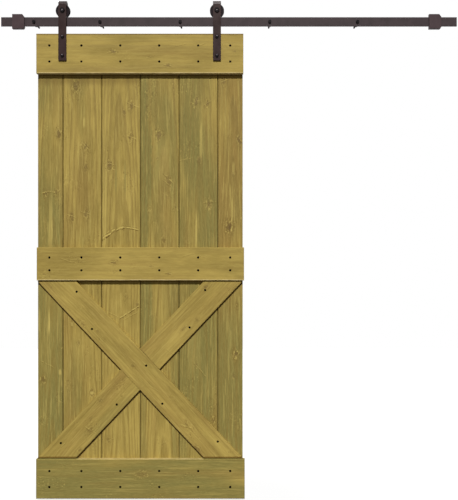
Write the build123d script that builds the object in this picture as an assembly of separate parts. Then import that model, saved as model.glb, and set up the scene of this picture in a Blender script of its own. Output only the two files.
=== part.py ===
from build123d import *
import math
import os

# Sliding barn door: a plank door hung by two bent straps on grooved wheels that roll on a flat wall rail.
# Frame: X runs along the rail to the right, Y into the wall, Z up. The wall's face is the plane Y = 0.
# The origin is the rail's middle wall fixing, on the line of its screws. All sizes are in millimetres.

# Rail
RAIL_LENGTH = 2000.0
RAIL_HEIGHT = 40.0
RAIL_THICKNESS = 6.0
RAIL_EDGE_BREAK = 0.8

# Wall fixings, with their stations measured from the rail's left end
LAG_STATION_1 = 144.0
LAG_STATION_2 = 434.0
LAG_STATION_3 = 786.0
LAG_STATION_4 = 1179.0
LAG_STATION_5 = 1564.0
SPACER_LENGTH = 35.0
SPACER_DIAMETER = 22.0
LAG_SHANK_DIAMETER = 8.0
LAG_THREAD_DIAMETER = 7.4
LAG_HEAD_FLATS = 13.0
LAG_HEAD_HEIGHT = 5.5
LAG_WALL_DEPTH = 50.0
LAG_SHANK_WALL_DEPTH = 2.0
LAG_POINT = 8.0
LAG_HOLE_CLEARANCE = 0.4

# End stops, each measured from its own end of the rail
LEFT_STOP_INSET = 50.0
RIGHT_STOP_INSET = 69.5
STOP_WIDTH = 53.0
STOP_HEIGHT = 63.5
STOP_FRONT_THICKNESS = 6.5
STOP_LIP_DEPTH = 10.0
STOP_RAIL_CLEARANCE = 0.3
STOP_TOP_CHAMFER_WIDTH = 9.0
STOP_TOP_CHAMFER_HEIGHT = 12.0
STOP_BOTTOM_CHAMFER_WIDTH = 4.5
STOP_BOTTOM_CHAMFER_HEIGHT = 8.0
STOP_EDGE_BREAK = 0.8
GRUB_DIAMETER = 6.0
GRUB_LENGTH = 10.0
GRUB_SPACING = 28.0
GRUB_SOCKET_FLATS = 3.0
GRUB_SOCKET_DEPTH = 3.5
GRUB_HOLE_CLEARANCE = 0.03

# Wheels
TREAD_RADIUS = 27.0
FLANGE_RADIUS = 31.0
WHEEL_WIDTH = 16.0
GROOVE_RAIL_CLEARANCE = 0.5
GROOVE_FLARE = 1.9
WHEEL_RIM_CHAMFER = 0.8
WHEEL_DISH_INNER_RADIUS = 19.5
WHEEL_DISH_OUTER_RADIUS = 25.0
WHEEL_DISH_DEPTH = 1.5
ROLLING_GAP = 0.2

# Ball bearings in the wheels
BEARING_BORE = 12.0
BEARING_OUTER_DIAMETER = 32.0
BEARING_WIDTH = 10.0
BEARING_SHOULDER = 2.5
BALL_DIAMETER = 5.95
BALL_COUNT = 7
RACE_CLEARANCE = 0.075
RACE_DEPTH = 0.9
CAGE_THICKNESS = 1.6
CAGE_WIDTH = 7.4
CAGE_POCKET_CLEARANCE = 0.12
PRESS_CLEARANCE = 0.02

# Hanger straps, each standing a little inside the outermost plank joint on its side
HANGER_JOINT_OFFSET = 3.0
STRAP_WIDTH = 35.0
STRAP_THICKNESS = 6.0
STRAP_OVERLAP = 119.0
STRAP_CORNER_RADIUS = 3.0
WHEEL_SIDE_CLEARANCE = 2.0
WHEEL_TOP_CLEARANCE = 2.1
STRAP_EDGE_BREAK = 0.6

# Axles
AXLE_HEAD_FLATS = 19.0
AXLE_HEAD_HEIGHT = 6.0
AXLE_DISH_DIAMETER = 11.0
AXLE_DISH_FLOOR_DIAMETER = 5.0
AXLE_DISH_DEPTH = 1.6
AXLE_NUT_HEIGHT = 10.0
AXLE_TIP = 1.5
AXLE_TIP_CHAMFER = 1.0
AXLE_HOLE_CLEARANCE = 0.25
SLEEVE_OUTER_DIAMETER = 17.0

# Bolts and sleeve nuts that fix the straps to the door, with their drops below the door's top
UPPER_STRAP_BOLT_DROP = 14.5
LOWER_STRAP_BOLT_DROP = 97.5
STRAP_BOLT_DIAMETER = 8.0
STRAP_BOLT_TIP_CHAMFER = 0.8
STRAP_BOLT_HEAD_FLATS = 13.0
STRAP_BOLT_HEAD_HEIGHT = 5.5
STRAP_BOLT_HOLE_CLEARANCE = 0.25
SLEEVE_NUT_DIAMETER = 10.5
SLEEVE_NUT_LENGTH = 16.0
SLEEVE_NUT_FLANGE_DIAMETER = 18.0
SLEEVE_NUT_FLANGE_THICKNESS = 2.0
SLEEVE_NUT_THREAD_CLEARANCE = 0.03
SLEEVE_NUT_BOLT_SETBACK = 4.0

# Door as a whole
DOOR_STATION = 609.5
DOOR_GAP = 34.5
DOOR_HEIGHT = 2037.0

# Tongue and groove planks
PLANK_COVER = 170.5
EDGE_PLANK_COVER = 110.0
WIDE_PLANKS = 4
PLANK_THICKNESS = 18.0
PLANK_JOINT_GAP = 0.8
V_JOINT = 3.2
TONGUE_LENGTH = 7.0
TONGUE_THICKNESS = 5.5
TONGUE_CLEARANCE = 0.3

# Cross boards, which stand proud of the planks' outer edges by an overhang at each end
BOARD_THICKNESS = 20.0
TOP_BOARD_HEIGHT = 174.0
TOP_BOARD_LEFT_OVERHANG = 2.5
TOP_BOARD_RIGHT_OVERHANG = 2.5
MIDDLE_BOARD_HEIGHT = 145.0
MIDDLE_BOARD_DROP = 936.0
MIDDLE_BOARD_LEFT_OVERHANG = 0.5
MIDDLE_BOARD_RIGHT_OVERHANG = 5.5
BOTTOM_BOARD_HEIGHT = 173.0
BOTTOM_BOARD_LEFT_OVERHANG = 3.5
BOTTOM_BOARD_RIGHT_OVERHANG = 8.5
BOARD_ARRIS = 1.5

# Braces, with a gap at the cross boards and a finer one where the halves meet the long brace
BRACE_WIDTH = 123.0
BRACE_THICKNESS = 12.0
BRACE_END_GAP = 2.5
BRACE_CROSSING_GAP = 0.8
BRACE_ARRIS = 1.2

# Wood screws
SCREW_HEAD_DIAMETER = 10.0
SCREW_HEAD_HEIGHT = 3.0
SCREW_SHANK_DIAMETER = 4.5
SCREW_POINT = 5.0
SCREW_SINK = 0.4
SCREW_HOLE_CLEARANCE = 0.12
BOARD_SCREW_LENGTH = 33.0
BRACE_SCREW_LENGTH = 25.0
WIDE_BOARD_SCREW_PITCH = 70.0
MIDDLE_BOARD_SCREW_PITCH = 56.0

# Brace screws: how far each stands from the brace's edge, and to the right of a plank's left edge
BRACE_SCREW_INSET = 30.0
LONG_SCREW_1_OFFSET = 62.5
LONG_SCREW_2_OFFSET = 130.0
LONG_SCREW_3_OFFSET = 27.0
LONG_SCREW_4_OFFSET = 98.0
LONG_SCREW_5_OFFSET = 0.5
HALF_SCREW_1_OFFSET = 115.0
HALF_SCREW_2_OFFSET = 47.0
HALF_SCREW_3_OFFSET = 68.5
HALF_SCREW_4_OFFSET = -6.5

# Places along Y, from the wall forwards
RAIL_BACK = -SPACER_LENGTH
RAIL_FRONT = RAIL_BACK - RAIL_THICKNESS
RAIL_MIDDLE = RAIL_BACK - RAIL_THICKNESS / 2
STRAP_GAP = WHEEL_WIDTH + 2 * WHEEL_SIDE_CLEARANCE
BACK_LEG_BACK = RAIL_MIDDLE + STRAP_GAP / 2 + STRAP_THICKNESS
DOOR_FRONT = RAIL_MIDDLE - STRAP_GAP / 2
STRAP_FRONT = DOOR_FRONT - STRAP_THICKNESS
PLANK_FRONT = DOOR_FRONT + BOARD_THICKNESS
DOOR_BACK = PLANK_FRONT + PLANK_THICKNESS
BRACE_FRONT = PLANK_FRONT - BRACE_THICKNESS

# Places along X
RAIL_LEFT = -LAG_STATION_3
RAIL_RIGHT = RAIL_LEFT + RAIL_LENGTH
LAG_STATIONS = (LAG_STATION_1, LAG_STATION_2, LAG_STATION_3, LAG_STATION_4, LAG_STATION_5)
LAG_PLACES = [station + RAIL_LEFT for station in LAG_STATIONS]
DOOR_CENTRE = DOOR_STATION + RAIL_LEFT
PLANKS_WIDTH = WIDE_PLANKS * PLANK_COVER + 2 * EDGE_PLANK_COVER
DOOR_LEFT = DOOR_CENTRE - PLANKS_WIDTH / 2
DOOR_RIGHT = DOOR_CENTRE + PLANKS_WIDTH / 2
HANGER_INSET = EDGE_PLANK_COVER + HANGER_JOINT_OFFSET
HANGERS = {"left": DOOR_LEFT + HANGER_INSET, "right": DOOR_RIGHT - HANGER_INSET}

# Places along Z
AXLE_Z = RAIL_HEIGHT / 2 + ROLLING_GAP + TREAD_RADIUS
BEND_RISE = math.sqrt((STRAP_GAP / 2) ** 2 - (WHEEL_WIDTH / 2) ** 2)
BEND_Z = AXLE_Z + FLANGE_RADIUS + WHEEL_TOP_CLEARANCE - BEND_RISE
DOOR_TOP = -RAIL_HEIGHT / 2 - DOOR_GAP
DOOR_BOTTOM = DOOR_TOP - DOOR_HEIGHT
STRAP_BOTTOM = DOOR_TOP - STRAP_OVERLAP
MIDDLE_BOARD_TOP = DOOR_TOP - MIDDLE_BOARD_DROP
FIELD_TOP = MIDDLE_BOARD_TOP - MIDDLE_BOARD_HEIGHT - BRACE_END_GAP
FIELD_BOTTOM = DOOR_BOTTOM + BOTTOM_BOARD_HEIGHT + BRACE_END_GAP
FIELD_HEIGHT = FIELD_TOP - FIELD_BOTTOM

# Angle of the diagonals, so that each strip's two edges run into opposite corners of the field
BRACE_ANGLE = math.degrees(
    math.atan2(FIELD_HEIGHT, PLANKS_WIDTH) + math.asin(BRACE_WIDTH / math.hypot(PLANKS_WIDTH, FIELD_HEIGHT))
)

# How far cutting tools run past the face they cut
OVERRUN = 1.0

# Hexagon heads and nuts: the bevel that turns their corners off, as shares of height and width
HEX_BEVEL_SHARE = 0.2
HEX_CROWN_SHARE = 0.95


def facing_wall(x, y, z):
    """A place whose own Z axis points at the wall, for turned pieces and fasteners."""
    return Plane(origin=(x, y, z), x_dir=(1, 0, 0), z_dir=(0, 1, 0))


def facing_front(y):
    """A plane at depth y, seen from the front: its own axes are X and Z, and it faces the viewer."""
    return Plane(origin=(0, y, 0), x_dir=(1, 0, 0), z_dir=(0, -1, 0))


def turned(*outline):
    """A solid turned about its own Z axis from points of radius and height."""
    return revolve(make_face(Plane.XZ * Polyline(*outline, close=True)), Axis.Z)


def rod(radius, start, end, chamfer=0.0):
    """A round bar along its own Z axis, with an optional chamfer at its far end."""
    if chamfer == 0.0:
        return turned((0, start), (radius, start), (radius, end), (0, end))
    return turned((0, start), (radius, start), (radius, end - chamfer), (radius - chamfer, end), (0, end))


def hexagon(flats, start, end):
    """A hexagonal prism along its own Z axis."""
    return extrude(Pos(0, 0, start) * RegularPolygon(flats / 2, 6, major_radius=False), end - start)


def hex_head(flats, height):
    """A hexagon bolt head from its own Z = 0 outwards, with its corners turned off at the crown."""
    corner = flats / 2 / math.cos(math.radians(30))
    bevel = height * HEX_BEVEL_SHARE
    crown = flats / 2 * HEX_CROWN_SHARE
    blank = turned((0, 0), (corner, 0), (corner, bevel - height), (crown, -height), (0, -height))
    return hexagon(flats, -height, 0) & blank


def hex_nut(flats, height, bore):
    """A hexagon nut from its own Z = 0 to its height, with a plain bore in place of the thread."""
    head = Rot(180, 0, 0) * hex_head(flats, height)
    return head - rod(bore, -OVERRUN, height + OVERRUN)


def front_edges(shape):
    """The edges round the face of a shape that is nearest the viewer."""
    return shape.faces().sort_by(Axis.Y)[0].edges()


def save(name, *solids):
    """Write one node: a single solid, or a group of separate solids."""
    node = solids[0] if len(solids) == 1 else Compound(children=list(solids))
    export_step(node, f"parts/{name}.step")


# Rail and wall fixings


def rail_bar():
    """The flat rail, with its five screw holes and its long edges broken."""
    bar = facing_front(RAIL_BACK) * Pos(RAIL_LEFT + RAIL_LENGTH / 2, 0) * Rectangle(RAIL_LENGTH, RAIL_HEIGHT)
    bar = extrude(bar, RAIL_THICKNESS)
    bar = chamfer(bar.edges().filter_by(Axis.X), RAIL_EDGE_BREAK)
    hole = rod(LAG_SHANK_DIAMETER / 2 + LAG_HOLE_CLEARANCE, -OVERRUN, RAIL_THICKNESS + OVERRUN)
    return bar - [facing_wall(x, RAIL_FRONT, 0) * hole for x in LAG_PLACES]


def spacer():
    """A plain tube between the rail and the wall."""
    outer = SPACER_DIAMETER / 2
    bore = LAG_SHANK_DIAMETER / 2 + LAG_HOLE_CLEARANCE
    return turned((bore, 0), (outer, 0), (outer, SPACER_LENGTH), (bore, SPACER_LENGTH))


def lag_screw():
    """A hexagon lag screw from the rail's face through its spacer into the wall."""
    shank = LAG_SHANK_DIAMETER / 2
    thread = LAG_THREAD_DIAMETER / 2
    wall = RAIL_THICKNESS + SPACER_LENGTH
    step = wall + LAG_SHANK_WALL_DEPTH
    end = wall + LAG_WALL_DEPTH
    body = turned((0, 0), (shank, 0), (shank, step), (thread, step), (thread, end - LAG_POINT), (0, end))
    return hex_head(LAG_HEAD_FLATS, LAG_HEAD_HEIGHT) + body


def end_stop():
    """A stop block, its left face at X = 0: a front plate with two lips that the rail sits between."""
    half = STOP_HEIGHT / 2
    outline = Polyline(
        (0, -half),
        (STOP_WIDTH - STOP_BOTTOM_CHAMFER_WIDTH, -half),
        (STOP_WIDTH, STOP_BOTTOM_CHAMFER_HEIGHT - half),
        (STOP_WIDTH, half - STOP_TOP_CHAMFER_HEIGHT),
        (STOP_WIDTH - STOP_TOP_CHAMFER_WIDTH, half),
        (0, half),
        close=True,
    )
    block = extrude(
        facing_front(RAIL_FRONT + STOP_LIP_DEPTH) * make_face(outline), STOP_LIP_DEPTH + STOP_FRONT_THICKNESS
    )
    block = chamfer(front_edges(block), STOP_EDGE_BREAK)
    slot = Rectangle(STOP_WIDTH + 2 * OVERRUN, RAIL_HEIGHT + 2 * STOP_RAIL_CLEARANCE)
    slot = facing_front(RAIL_FRONT + STOP_LIP_DEPTH + OVERRUN) * Pos(STOP_WIDTH / 2, 0) * slot
    slot = extrude(slot, STOP_LIP_DEPTH + OVERRUN)
    hole = rod(GRUB_DIAMETER / 2 + GRUB_HOLE_CLEARANCE, -STOP_HEIGHT / 2, 0)
    return block - [slot] - [Pos(x, RAIL_MIDDLE, -RAIL_HEIGHT / 2) * hole for x in grub_places()]


def grub_places():
    """Where a stop's two grub screws stand, from its left face."""
    return (STOP_WIDTH / 2 - GRUB_SPACING / 2, STOP_WIDTH / 2 + GRUB_SPACING / 2)


def grub_screw():
    """A grub screw that points up at the rail's lower edge, with a hexagon socket in its lower end."""
    screw = rod(GRUB_DIAMETER / 2, -GRUB_LENGTH, 0)
    return screw - hexagon(GRUB_SOCKET_FLATS, -GRUB_LENGTH - OVERRUN, GRUB_SOCKET_DEPTH - GRUB_LENGTH)


def make_rail():
    """The rail's nodes."""
    save("rail_bar", rail_bar())
    save("rail_spacers", *[facing_wall(x, RAIL_BACK, 0) * spacer() for x in LAG_PLACES])
    save("lag_screws", *[facing_wall(x, RAIL_FRONT, 0) * lag_screw() for x in LAG_PLACES])
    stops = {"left": RAIL_LEFT + LEFT_STOP_INSET, "right": RAIL_RIGHT - RIGHT_STOP_INSET - STOP_WIDTH}
    grubs = []
    for side, x in stops.items():
        save(f"end_stop_{side}", Pos(x, 0, 0) * end_stop())
        grubs += [Pos(x + place, RAIL_MIDDLE, -RAIL_HEIGHT / 2) * grub_screw() for place in grub_places()]
    save("stop_grub_screws", *grubs)


# Wheels and bearings, turned about their own Z axis with the wheel's middle at Z = 0


def wheel():
    """A grooved wheel with a dished face on each side and a pocket for its bearing, open at the back."""
    half = WHEEL_WIDTH / 2
    root = RAIL_THICKNESS / 2 + GROOVE_RAIL_CLEARANCE
    mouth = root + GROOVE_FLARE
    seat = BEARING_OUTER_DIAMETER / 2 + PRESS_CLEARANCE
    lip = BEARING_OUTER_DIAMETER / 2 - BEARING_SHOULDER
    rim = FLANGE_RADIUS - WHEEL_RIM_CHAMFER
    dish = half - WHEEL_DISH_DEPTH
    return turned(
        (lip, -half),
        (WHEEL_DISH_INNER_RADIUS, -half),
        (WHEEL_DISH_INNER_RADIUS, -dish),
        (WHEEL_DISH_OUTER_RADIUS, -dish),
        (WHEEL_DISH_OUTER_RADIUS, -half),
        (rim, -half),
        (FLANGE_RADIUS, WHEEL_RIM_CHAMFER - half),
        (FLANGE_RADIUS, -mouth),
        (TREAD_RADIUS, -root),
        (TREAD_RADIUS, root),
        (FLANGE_RADIUS, mouth),
        (FLANGE_RADIUS, half - WHEEL_RIM_CHAMFER),
        (rim, half),
        (WHEEL_DISH_OUTER_RADIUS, half),
        (WHEEL_DISH_OUTER_RADIUS, dish),
        (WHEEL_DISH_INNER_RADIUS, dish),
        (WHEEL_DISH_INNER_RADIUS, half),
        (seat, half),
        (seat, -BEARING_WIDTH / 2),
        (lip, -BEARING_WIDTH / 2),
    )


BALL_CIRCLE = (BEARING_BORE + BEARING_OUTER_DIAMETER) / 4
RACE_RADIUS = BALL_DIAMETER / 2 + RACE_CLEARANCE


def bearing_ring(inner, outer):
    """One ring of a bearing, with the ball groove cut round it."""
    half = BEARING_WIDTH / 2
    ring = turned((inner, -half), (outer, -half), (outer, half), (inner, half))
    return ring - Torus(BALL_CIRCLE, RACE_RADIUS)


def outer_ring():
    """The bearing's outer ring, which turns with the wheel."""
    return bearing_ring(BALL_CIRCLE + RACE_RADIUS - RACE_DEPTH, BEARING_OUTER_DIAMETER / 2)


def inner_ring():
    """The bearing's inner ring, clamped on the axle."""
    return bearing_ring(BEARING_BORE / 2 + PRESS_CLEARANCE, BALL_CIRCLE - RACE_RADIUS + RACE_DEPTH)


def ball_places():
    """The places of the balls round the bearing."""
    return PolarLocations(BALL_CIRCLE, BALL_COUNT)


def balls():
    """The bearing's balls, as separate solids."""
    return [place * Sphere(BALL_DIAMETER / 2) for place in ball_places()]


def ball_cage():
    """The ring that keeps the balls apart, with a pocket for each."""
    inner = BALL_CIRCLE - CAGE_THICKNESS / 2
    outer = BALL_CIRCLE + CAGE_THICKNESS / 2
    half = CAGE_WIDTH / 2
    cage = turned((inner, -half), (outer, -half), (outer, half), (inner, half))
    pocket = Rot(0, 90, 0) * Cylinder(BALL_DIAMETER / 2 + CAGE_POCKET_CLEARANCE, CAGE_THICKNESS + 2 * OVERRUN)
    return cage - [place * pocket for place in ball_places()]


def make_wheels():
    """The nodes that turn with each wheel."""
    for side, x in HANGERS.items():
        centre = facing_wall(x, RAIL_MIDDLE, AXLE_Z)
        save(f"wheel_{side}", centre * wheel())
        save(f"bearing_outer_ring_{side}", centre * outer_ring())
        save(f"bearing_balls_{side}", *[centre * ball for ball in balls()])
        save(f"bearing_cage_{side}", centre * ball_cage())


# Hangers


def strap_bolt_levels():
    """The heights of a strap's two door bolts."""
    return [DOOR_TOP - UPPER_STRAP_BOLT_DROP, DOOR_TOP - LOWER_STRAP_BOLT_DROP]


def hanger_strap(x):
    """A flat bar bent over the wheel: a long front leg, a half round bend and a short back leg."""
    inner = STRAP_GAP / 2
    outer = inner + STRAP_THICKNESS
    bend = (Circle(outer) - Circle(inner)) & Pos(0, outer) * Rectangle(2 * outer, 2 * outer)
    front_length = BEND_Z - STRAP_BOTTOM
    back_length = BEND_Z - AXLE_Z + STRAP_WIDTH / 2
    front = Pos(-(inner + outer) / 2, -front_length / 2) * Rectangle(STRAP_THICKNESS, front_length)
    back = Pos((inner + outer) / 2, -back_length / 2) * Rectangle(STRAP_THICKNESS, back_length)
    side = Plane.YZ.offset(x - STRAP_WIDTH / 2) * Pos(RAIL_MIDDLE, BEND_Z) * (front + bend + back)
    strap = extrude(side, STRAP_WIDTH) & strap_outline(x)
    strap = chamfer(front_edges(strap).filter_by(Axis.Z), STRAP_EDGE_BREAK)
    axle_hole = rod(BEARING_BORE / 2 + AXLE_HOLE_CLEARANCE, -OVERRUN, 2 * outer + OVERRUN)
    bolt_hole = rod(STRAP_BOLT_DIAMETER / 2 + STRAP_BOLT_HOLE_CLEARANCE, -OVERRUN, STRAP_THICKNESS + OVERRUN)
    holes = [facing_wall(x, STRAP_FRONT, z) * bolt_hole for z in strap_bolt_levels()]
    return strap - (holes + [facing_wall(x, STRAP_FRONT, AXLE_Z) * axle_hole])


def strap_outline(x):
    """What a strap fills seen from the front: the back leg's end is round, the front leg's corners eased."""
    top = BEND_Z + STRAP_GAP / 2 + STRAP_THICKNESS
    height = top - STRAP_BOTTOM
    front = Rectangle(STRAP_WIDTH, height)
    front = fillet(front.vertices().group_by(Axis.Y)[0], STRAP_CORNER_RADIUS)
    front = extrude(facing_front(RAIL_MIDDLE) * Pos(x, top - height / 2) * front, -STRAP_FRONT)
    back = Pos(0, (top - AXLE_Z) / 2) * Rectangle(STRAP_WIDTH, top - AXLE_Z) + Circle(STRAP_WIDTH / 2)
    back = extrude(facing_front(RAIL_MIDDLE) * Pos(x, AXLE_Z) * back, RAIL_MIDDLE)
    return front + back


def strap_bolt():
    """A hexagon bolt from the strap's face into its sleeve nut."""
    length = DOOR_BACK - STRAP_FRONT - SLEEVE_NUT_BOLT_SETBACK
    shank = rod(STRAP_BOLT_DIAMETER / 2, 0, length, STRAP_BOLT_TIP_CHAMFER)
    return hex_head(STRAP_BOLT_HEAD_FLATS, STRAP_BOLT_HEAD_HEIGHT) + shank


def sleeve_nut():
    """A sleeve nut from the door's back face: a flat flange outside and a barrel inside, at negative Z."""
    bore = STRAP_BOLT_DIAMETER / 2 + SLEEVE_NUT_THREAD_CLEARANCE
    barrel = SLEEVE_NUT_DIAMETER / 2
    flange = SLEEVE_NUT_FLANGE_DIAMETER / 2
    top = SLEEVE_NUT_FLANGE_THICKNESS
    return turned(
        (bore, -SLEEVE_NUT_LENGTH),
        (barrel, -SLEEVE_NUT_LENGTH),
        (barrel, 0),
        (flange, 0),
        (flange, top / 2),
        (flange - top / 2, top),
        (bore, top),
    )


def axle_bolt():
    """A hexagon bolt through both legs of a strap, the sleeves and the bearing, with a dish in its head."""
    mouth = AXLE_DISH_DIAMETER / 2
    floor = AXLE_DISH_FLOOR_DIAMETER / 2
    face = -AXLE_HEAD_HEIGHT
    bottom = face + AXLE_DISH_DEPTH
    dish = turned((0, face - OVERRUN), (mouth, face - OVERRUN), (mouth, face), (floor, bottom), (0, bottom))
    length = BACK_LEG_BACK - STRAP_FRONT + AXLE_NUT_HEIGHT + AXLE_TIP
    shank = rod(BEARING_BORE / 2, 0, length, AXLE_TIP_CHAMFER)
    return hex_head(AXLE_HEAD_FLATS, AXLE_HEAD_HEIGHT) + shank - dish


def axle_sleeve():
    """A short tube between a strap's leg and the bearing's inner ring."""
    bore = BEARING_BORE / 2 + AXLE_HOLE_CLEARANCE
    length = (STRAP_GAP - BEARING_WIDTH) / 2
    outer = SLEEVE_OUTER_DIAMETER / 2
    return turned((bore, 0), (outer, 0), (outer, length), (bore, length))


def make_hangers():
    """The nodes of the two hangers, which move with the door."""
    for side, x in HANGERS.items():
        save(f"hanger_strap_{side}", hanger_strap(x))
    places = [(x, z) for x in HANGERS.values() for z in strap_bolt_levels()]
    save("strap_bolts", *[facing_wall(x, STRAP_FRONT, z) * strap_bolt() for x, z in places])
    save("strap_sleeve_nuts", *[facing_wall(x, DOOR_BACK, z) * sleeve_nut() for x, z in places])
    centres = [facing_wall(x, RAIL_MIDDLE, AXLE_Z) for x in HANGERS.values()]
    save("axle_bolts", *[centre * Pos(0, 0, STRAP_FRONT - RAIL_MIDDLE) * axle_bolt() for centre in centres])
    nut = hex_nut(AXLE_HEAD_FLATS, AXLE_NUT_HEIGHT, BEARING_BORE / 2 + PRESS_CLEARANCE)
    save("axle_nuts", *[centre * Pos(0, 0, BACK_LEG_BACK - RAIL_MIDDLE) * nut for centre in centres])
    save("bearing_inner_rings", *[centre * inner_ring() for centre in centres])
    starts = (-STRAP_GAP / 2, BEARING_WIDTH / 2)
    save("axle_sleeves", *[centre * Pos(0, 0, start) * axle_sleeve() for centre in centres for start in starts])


# Wood screws and the holes they need


def plank_edges():
    """The X of each plank's edges, from the door's left edge to its right edge."""
    edges = [DOOR_LEFT, DOOR_LEFT + EDGE_PLANK_COVER]
    for _ in range(WIDE_PLANKS):
        edges.append(edges[-1] + PLANK_COVER)
    return edges + [DOOR_RIGHT]


def board_screw_places(middle, pitch):
    """Two screws in the middle of each plank, above and below the board's middle line."""
    edges = plank_edges()
    columns = [(left + right) / 2 for left, right in zip(edges, edges[1:])]
    return [(x, middle + offset) for x in columns for offset in (pitch / 2, -pitch / 2)]


def brace_screw_places():
    """Screws along both diagonals, near the upper and the lower edge, each set out from a plank's left edge."""
    low = BRACE_SCREW_INSET
    high = BRACE_WIDTH - BRACE_SCREW_INSET
    long_screws = (
        (2, LONG_SCREW_1_OFFSET, high),
        (2, LONG_SCREW_2_OFFSET, low),
        (4, LONG_SCREW_3_OFFSET, high),
        (4, LONG_SCREW_4_OFFSET, low),
        (6, LONG_SCREW_5_OFFSET, high),
    )
    half_screws = (
        (5, HALF_SCREW_1_OFFSET, high),
        (5, HALF_SCREW_2_OFFSET, low),
        (3, HALF_SCREW_3_OFFSET, low),
        (2, HALF_SCREW_4_OFFSET, high),
    )
    edges = plank_edges()
    angle = math.radians(BRACE_ANGLE)
    places = []
    for corner, screws in ((DOOR_LEFT, long_screws), (DOOR_RIGHT, half_screws)):
        for number, offset, across in screws:
            x = edges[number - 1] + offset
            z = FIELD_TOP - abs(x - corner) * math.tan(angle) + across / math.cos(angle)
            places.append((x, z))
    return places


def wood_screw(length):
    """A countersunk wood screw, its head's top at Z = 0."""
    head = SCREW_HEAD_DIAMETER / 2
    shank = SCREW_SHANK_DIAMETER / 2
    return turned((0, 0), (head, 0), (shank, SCREW_HEAD_HEIGHT), (shank, length - SCREW_POINT), (0, length))


def screw_hole(length):
    """The countersunk hole round a wood screw, open beyond its head."""
    head = SCREW_HEAD_DIAMETER / 2 + SCREW_HOLE_CLEARANCE
    shank = SCREW_SHANK_DIAMETER / 2 + SCREW_HOLE_CLEARANCE
    mouth = -SCREW_SINK - OVERRUN
    end = length + SCREW_HOLE_CLEARANCE
    return turned((0, mouth), (head, mouth), (head, 0), (shank, SCREW_HEAD_HEIGHT), (shank, end), (0, end))


TOP_BOARD_MIDDLE = DOOR_TOP - TOP_BOARD_HEIGHT / 2
MIDDLE_BOARD_MIDDLE = MIDDLE_BOARD_TOP - MIDDLE_BOARD_HEIGHT / 2
BOTTOM_BOARD_MIDDLE = DOOR_BOTTOM + BOTTOM_BOARD_HEIGHT / 2

# Each group of screws: its node, the face its heads sink into, its length and its places
SCREW_GROUPS = (
    (
        "top_board_screws",
        DOOR_FRONT,
        BOARD_SCREW_LENGTH,
        board_screw_places(TOP_BOARD_MIDDLE, WIDE_BOARD_SCREW_PITCH),
    ),
    (
        "middle_board_screws",
        DOOR_FRONT,
        BOARD_SCREW_LENGTH,
        board_screw_places(MIDDLE_BOARD_MIDDLE, MIDDLE_BOARD_SCREW_PITCH),
    ),
    (
        "bottom_board_screws",
        DOOR_FRONT,
        BOARD_SCREW_LENGTH,
        board_screw_places(BOTTOM_BOARD_MIDDLE, WIDE_BOARD_SCREW_PITCH),
    ),
    ("brace_screws", BRACE_FRONT, BRACE_SCREW_LENGTH, brace_screw_places()),
)


def make_screws():
    """The nodes of the wood screws."""
    for name, face, length, places in SCREW_GROUPS:
        screw = wood_screw(length)
        save(name, *[facing_wall(x, face + SCREW_SINK, z) * screw for x, z in places])


def door_holes():
    """Every hole in the door's wood, as a list of its place along X and Z and the solid to cut away."""
    holes = []
    for _, face, length, places in SCREW_GROUPS:
        cut = screw_hole(length)
        holes += [(x, z, facing_wall(x, face + SCREW_SINK, z) * cut) for x, z in places]
    bolt = rod(STRAP_BOLT_DIAMETER / 2 + STRAP_BOLT_HOLE_CLEARANCE, -OVERRUN, DOOR_BACK - DOOR_FRONT)
    barrel = rod(SLEEVE_NUT_DIAMETER / 2 + STRAP_BOLT_HOLE_CLEARANCE, -SLEEVE_NUT_LENGTH - OVERRUN, OVERRUN)
    for x in HANGERS.values():
        for z in strap_bolt_levels():
            holes.append((x, z, facing_wall(x, DOOR_FRONT, z) * bolt))
            holes.append((x, z, facing_wall(x, DOOR_BACK, z) * barrel))
    return holes


def drilled(wood, holes):
    """A piece of wood with every hole that may meet it cut away."""
    box = wood.bounding_box()
    reach = max(SCREW_HEAD_DIAMETER, SLEEVE_NUT_DIAMETER)
    return wood - [
        cut
        for x, z, cut in holes
        if box.min.X - reach < x < box.max.X + reach and box.min.Z - reach < z < box.max.Z + reach
    ]


# Door woodwork


def plank(left, right, grooved, tongued):
    """A plank between two joint lines: a groove in its left edge, a tongue on its right, V joints in front."""
    gap = PLANK_JOINT_GAP / 2
    middle = (PLANK_FRONT + DOOR_BACK) / 2
    slot = TONGUE_THICKNESS / 2 + TONGUE_CLEARANCE
    tongue = TONGUE_THICKNESS / 2
    outline = []
    if grooved:
        depth = TONGUE_LENGTH + TONGUE_CLEARANCE
        outline += [
            (left + gap, DOOR_BACK),
            (left + gap, middle + slot),
            (left + gap + depth, middle + slot),
            (left + gap + depth, middle - slot),
            (left + gap, middle - slot),
            (left + gap, PLANK_FRONT + V_JOINT),
            (left + gap + V_JOINT, PLANK_FRONT),
        ]
    else:
        outline += [(left, DOOR_BACK), (left, PLANK_FRONT)]
    if tongued:
        outline += [
            (right - gap - V_JOINT, PLANK_FRONT),
            (right - gap, PLANK_FRONT + V_JOINT),
            (right - gap, middle - tongue),
            (right + TONGUE_LENGTH - gap, middle - tongue),
            (right + TONGUE_LENGTH - gap, middle + tongue),
            (right - gap, middle + tongue),
            (right - gap, DOOR_BACK),
        ]
    else:
        outline += [(right, PLANK_FRONT), (right, DOOR_BACK)]
    section = make_face(Pos(0, 0, DOOR_BOTTOM) * Polyline(*outline, close=True))
    return extrude(section, DOOR_HEIGHT, dir=(0, 0, 1))


def cross_board(middle, height, left_overhang, right_overhang):
    """A board across the planks, with the arrises of its front face eased."""
    length = PLANKS_WIDTH + left_overhang + right_overhang
    centre = DOOR_CENTRE + (right_overhang - left_overhang) / 2
    board = extrude(facing_front(PLANK_FRONT) * Pos(centre, middle) * Rectangle(length, height), BOARD_THICKNESS)
    return chamfer(front_edges(board), BOARD_ARRIS)


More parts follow.
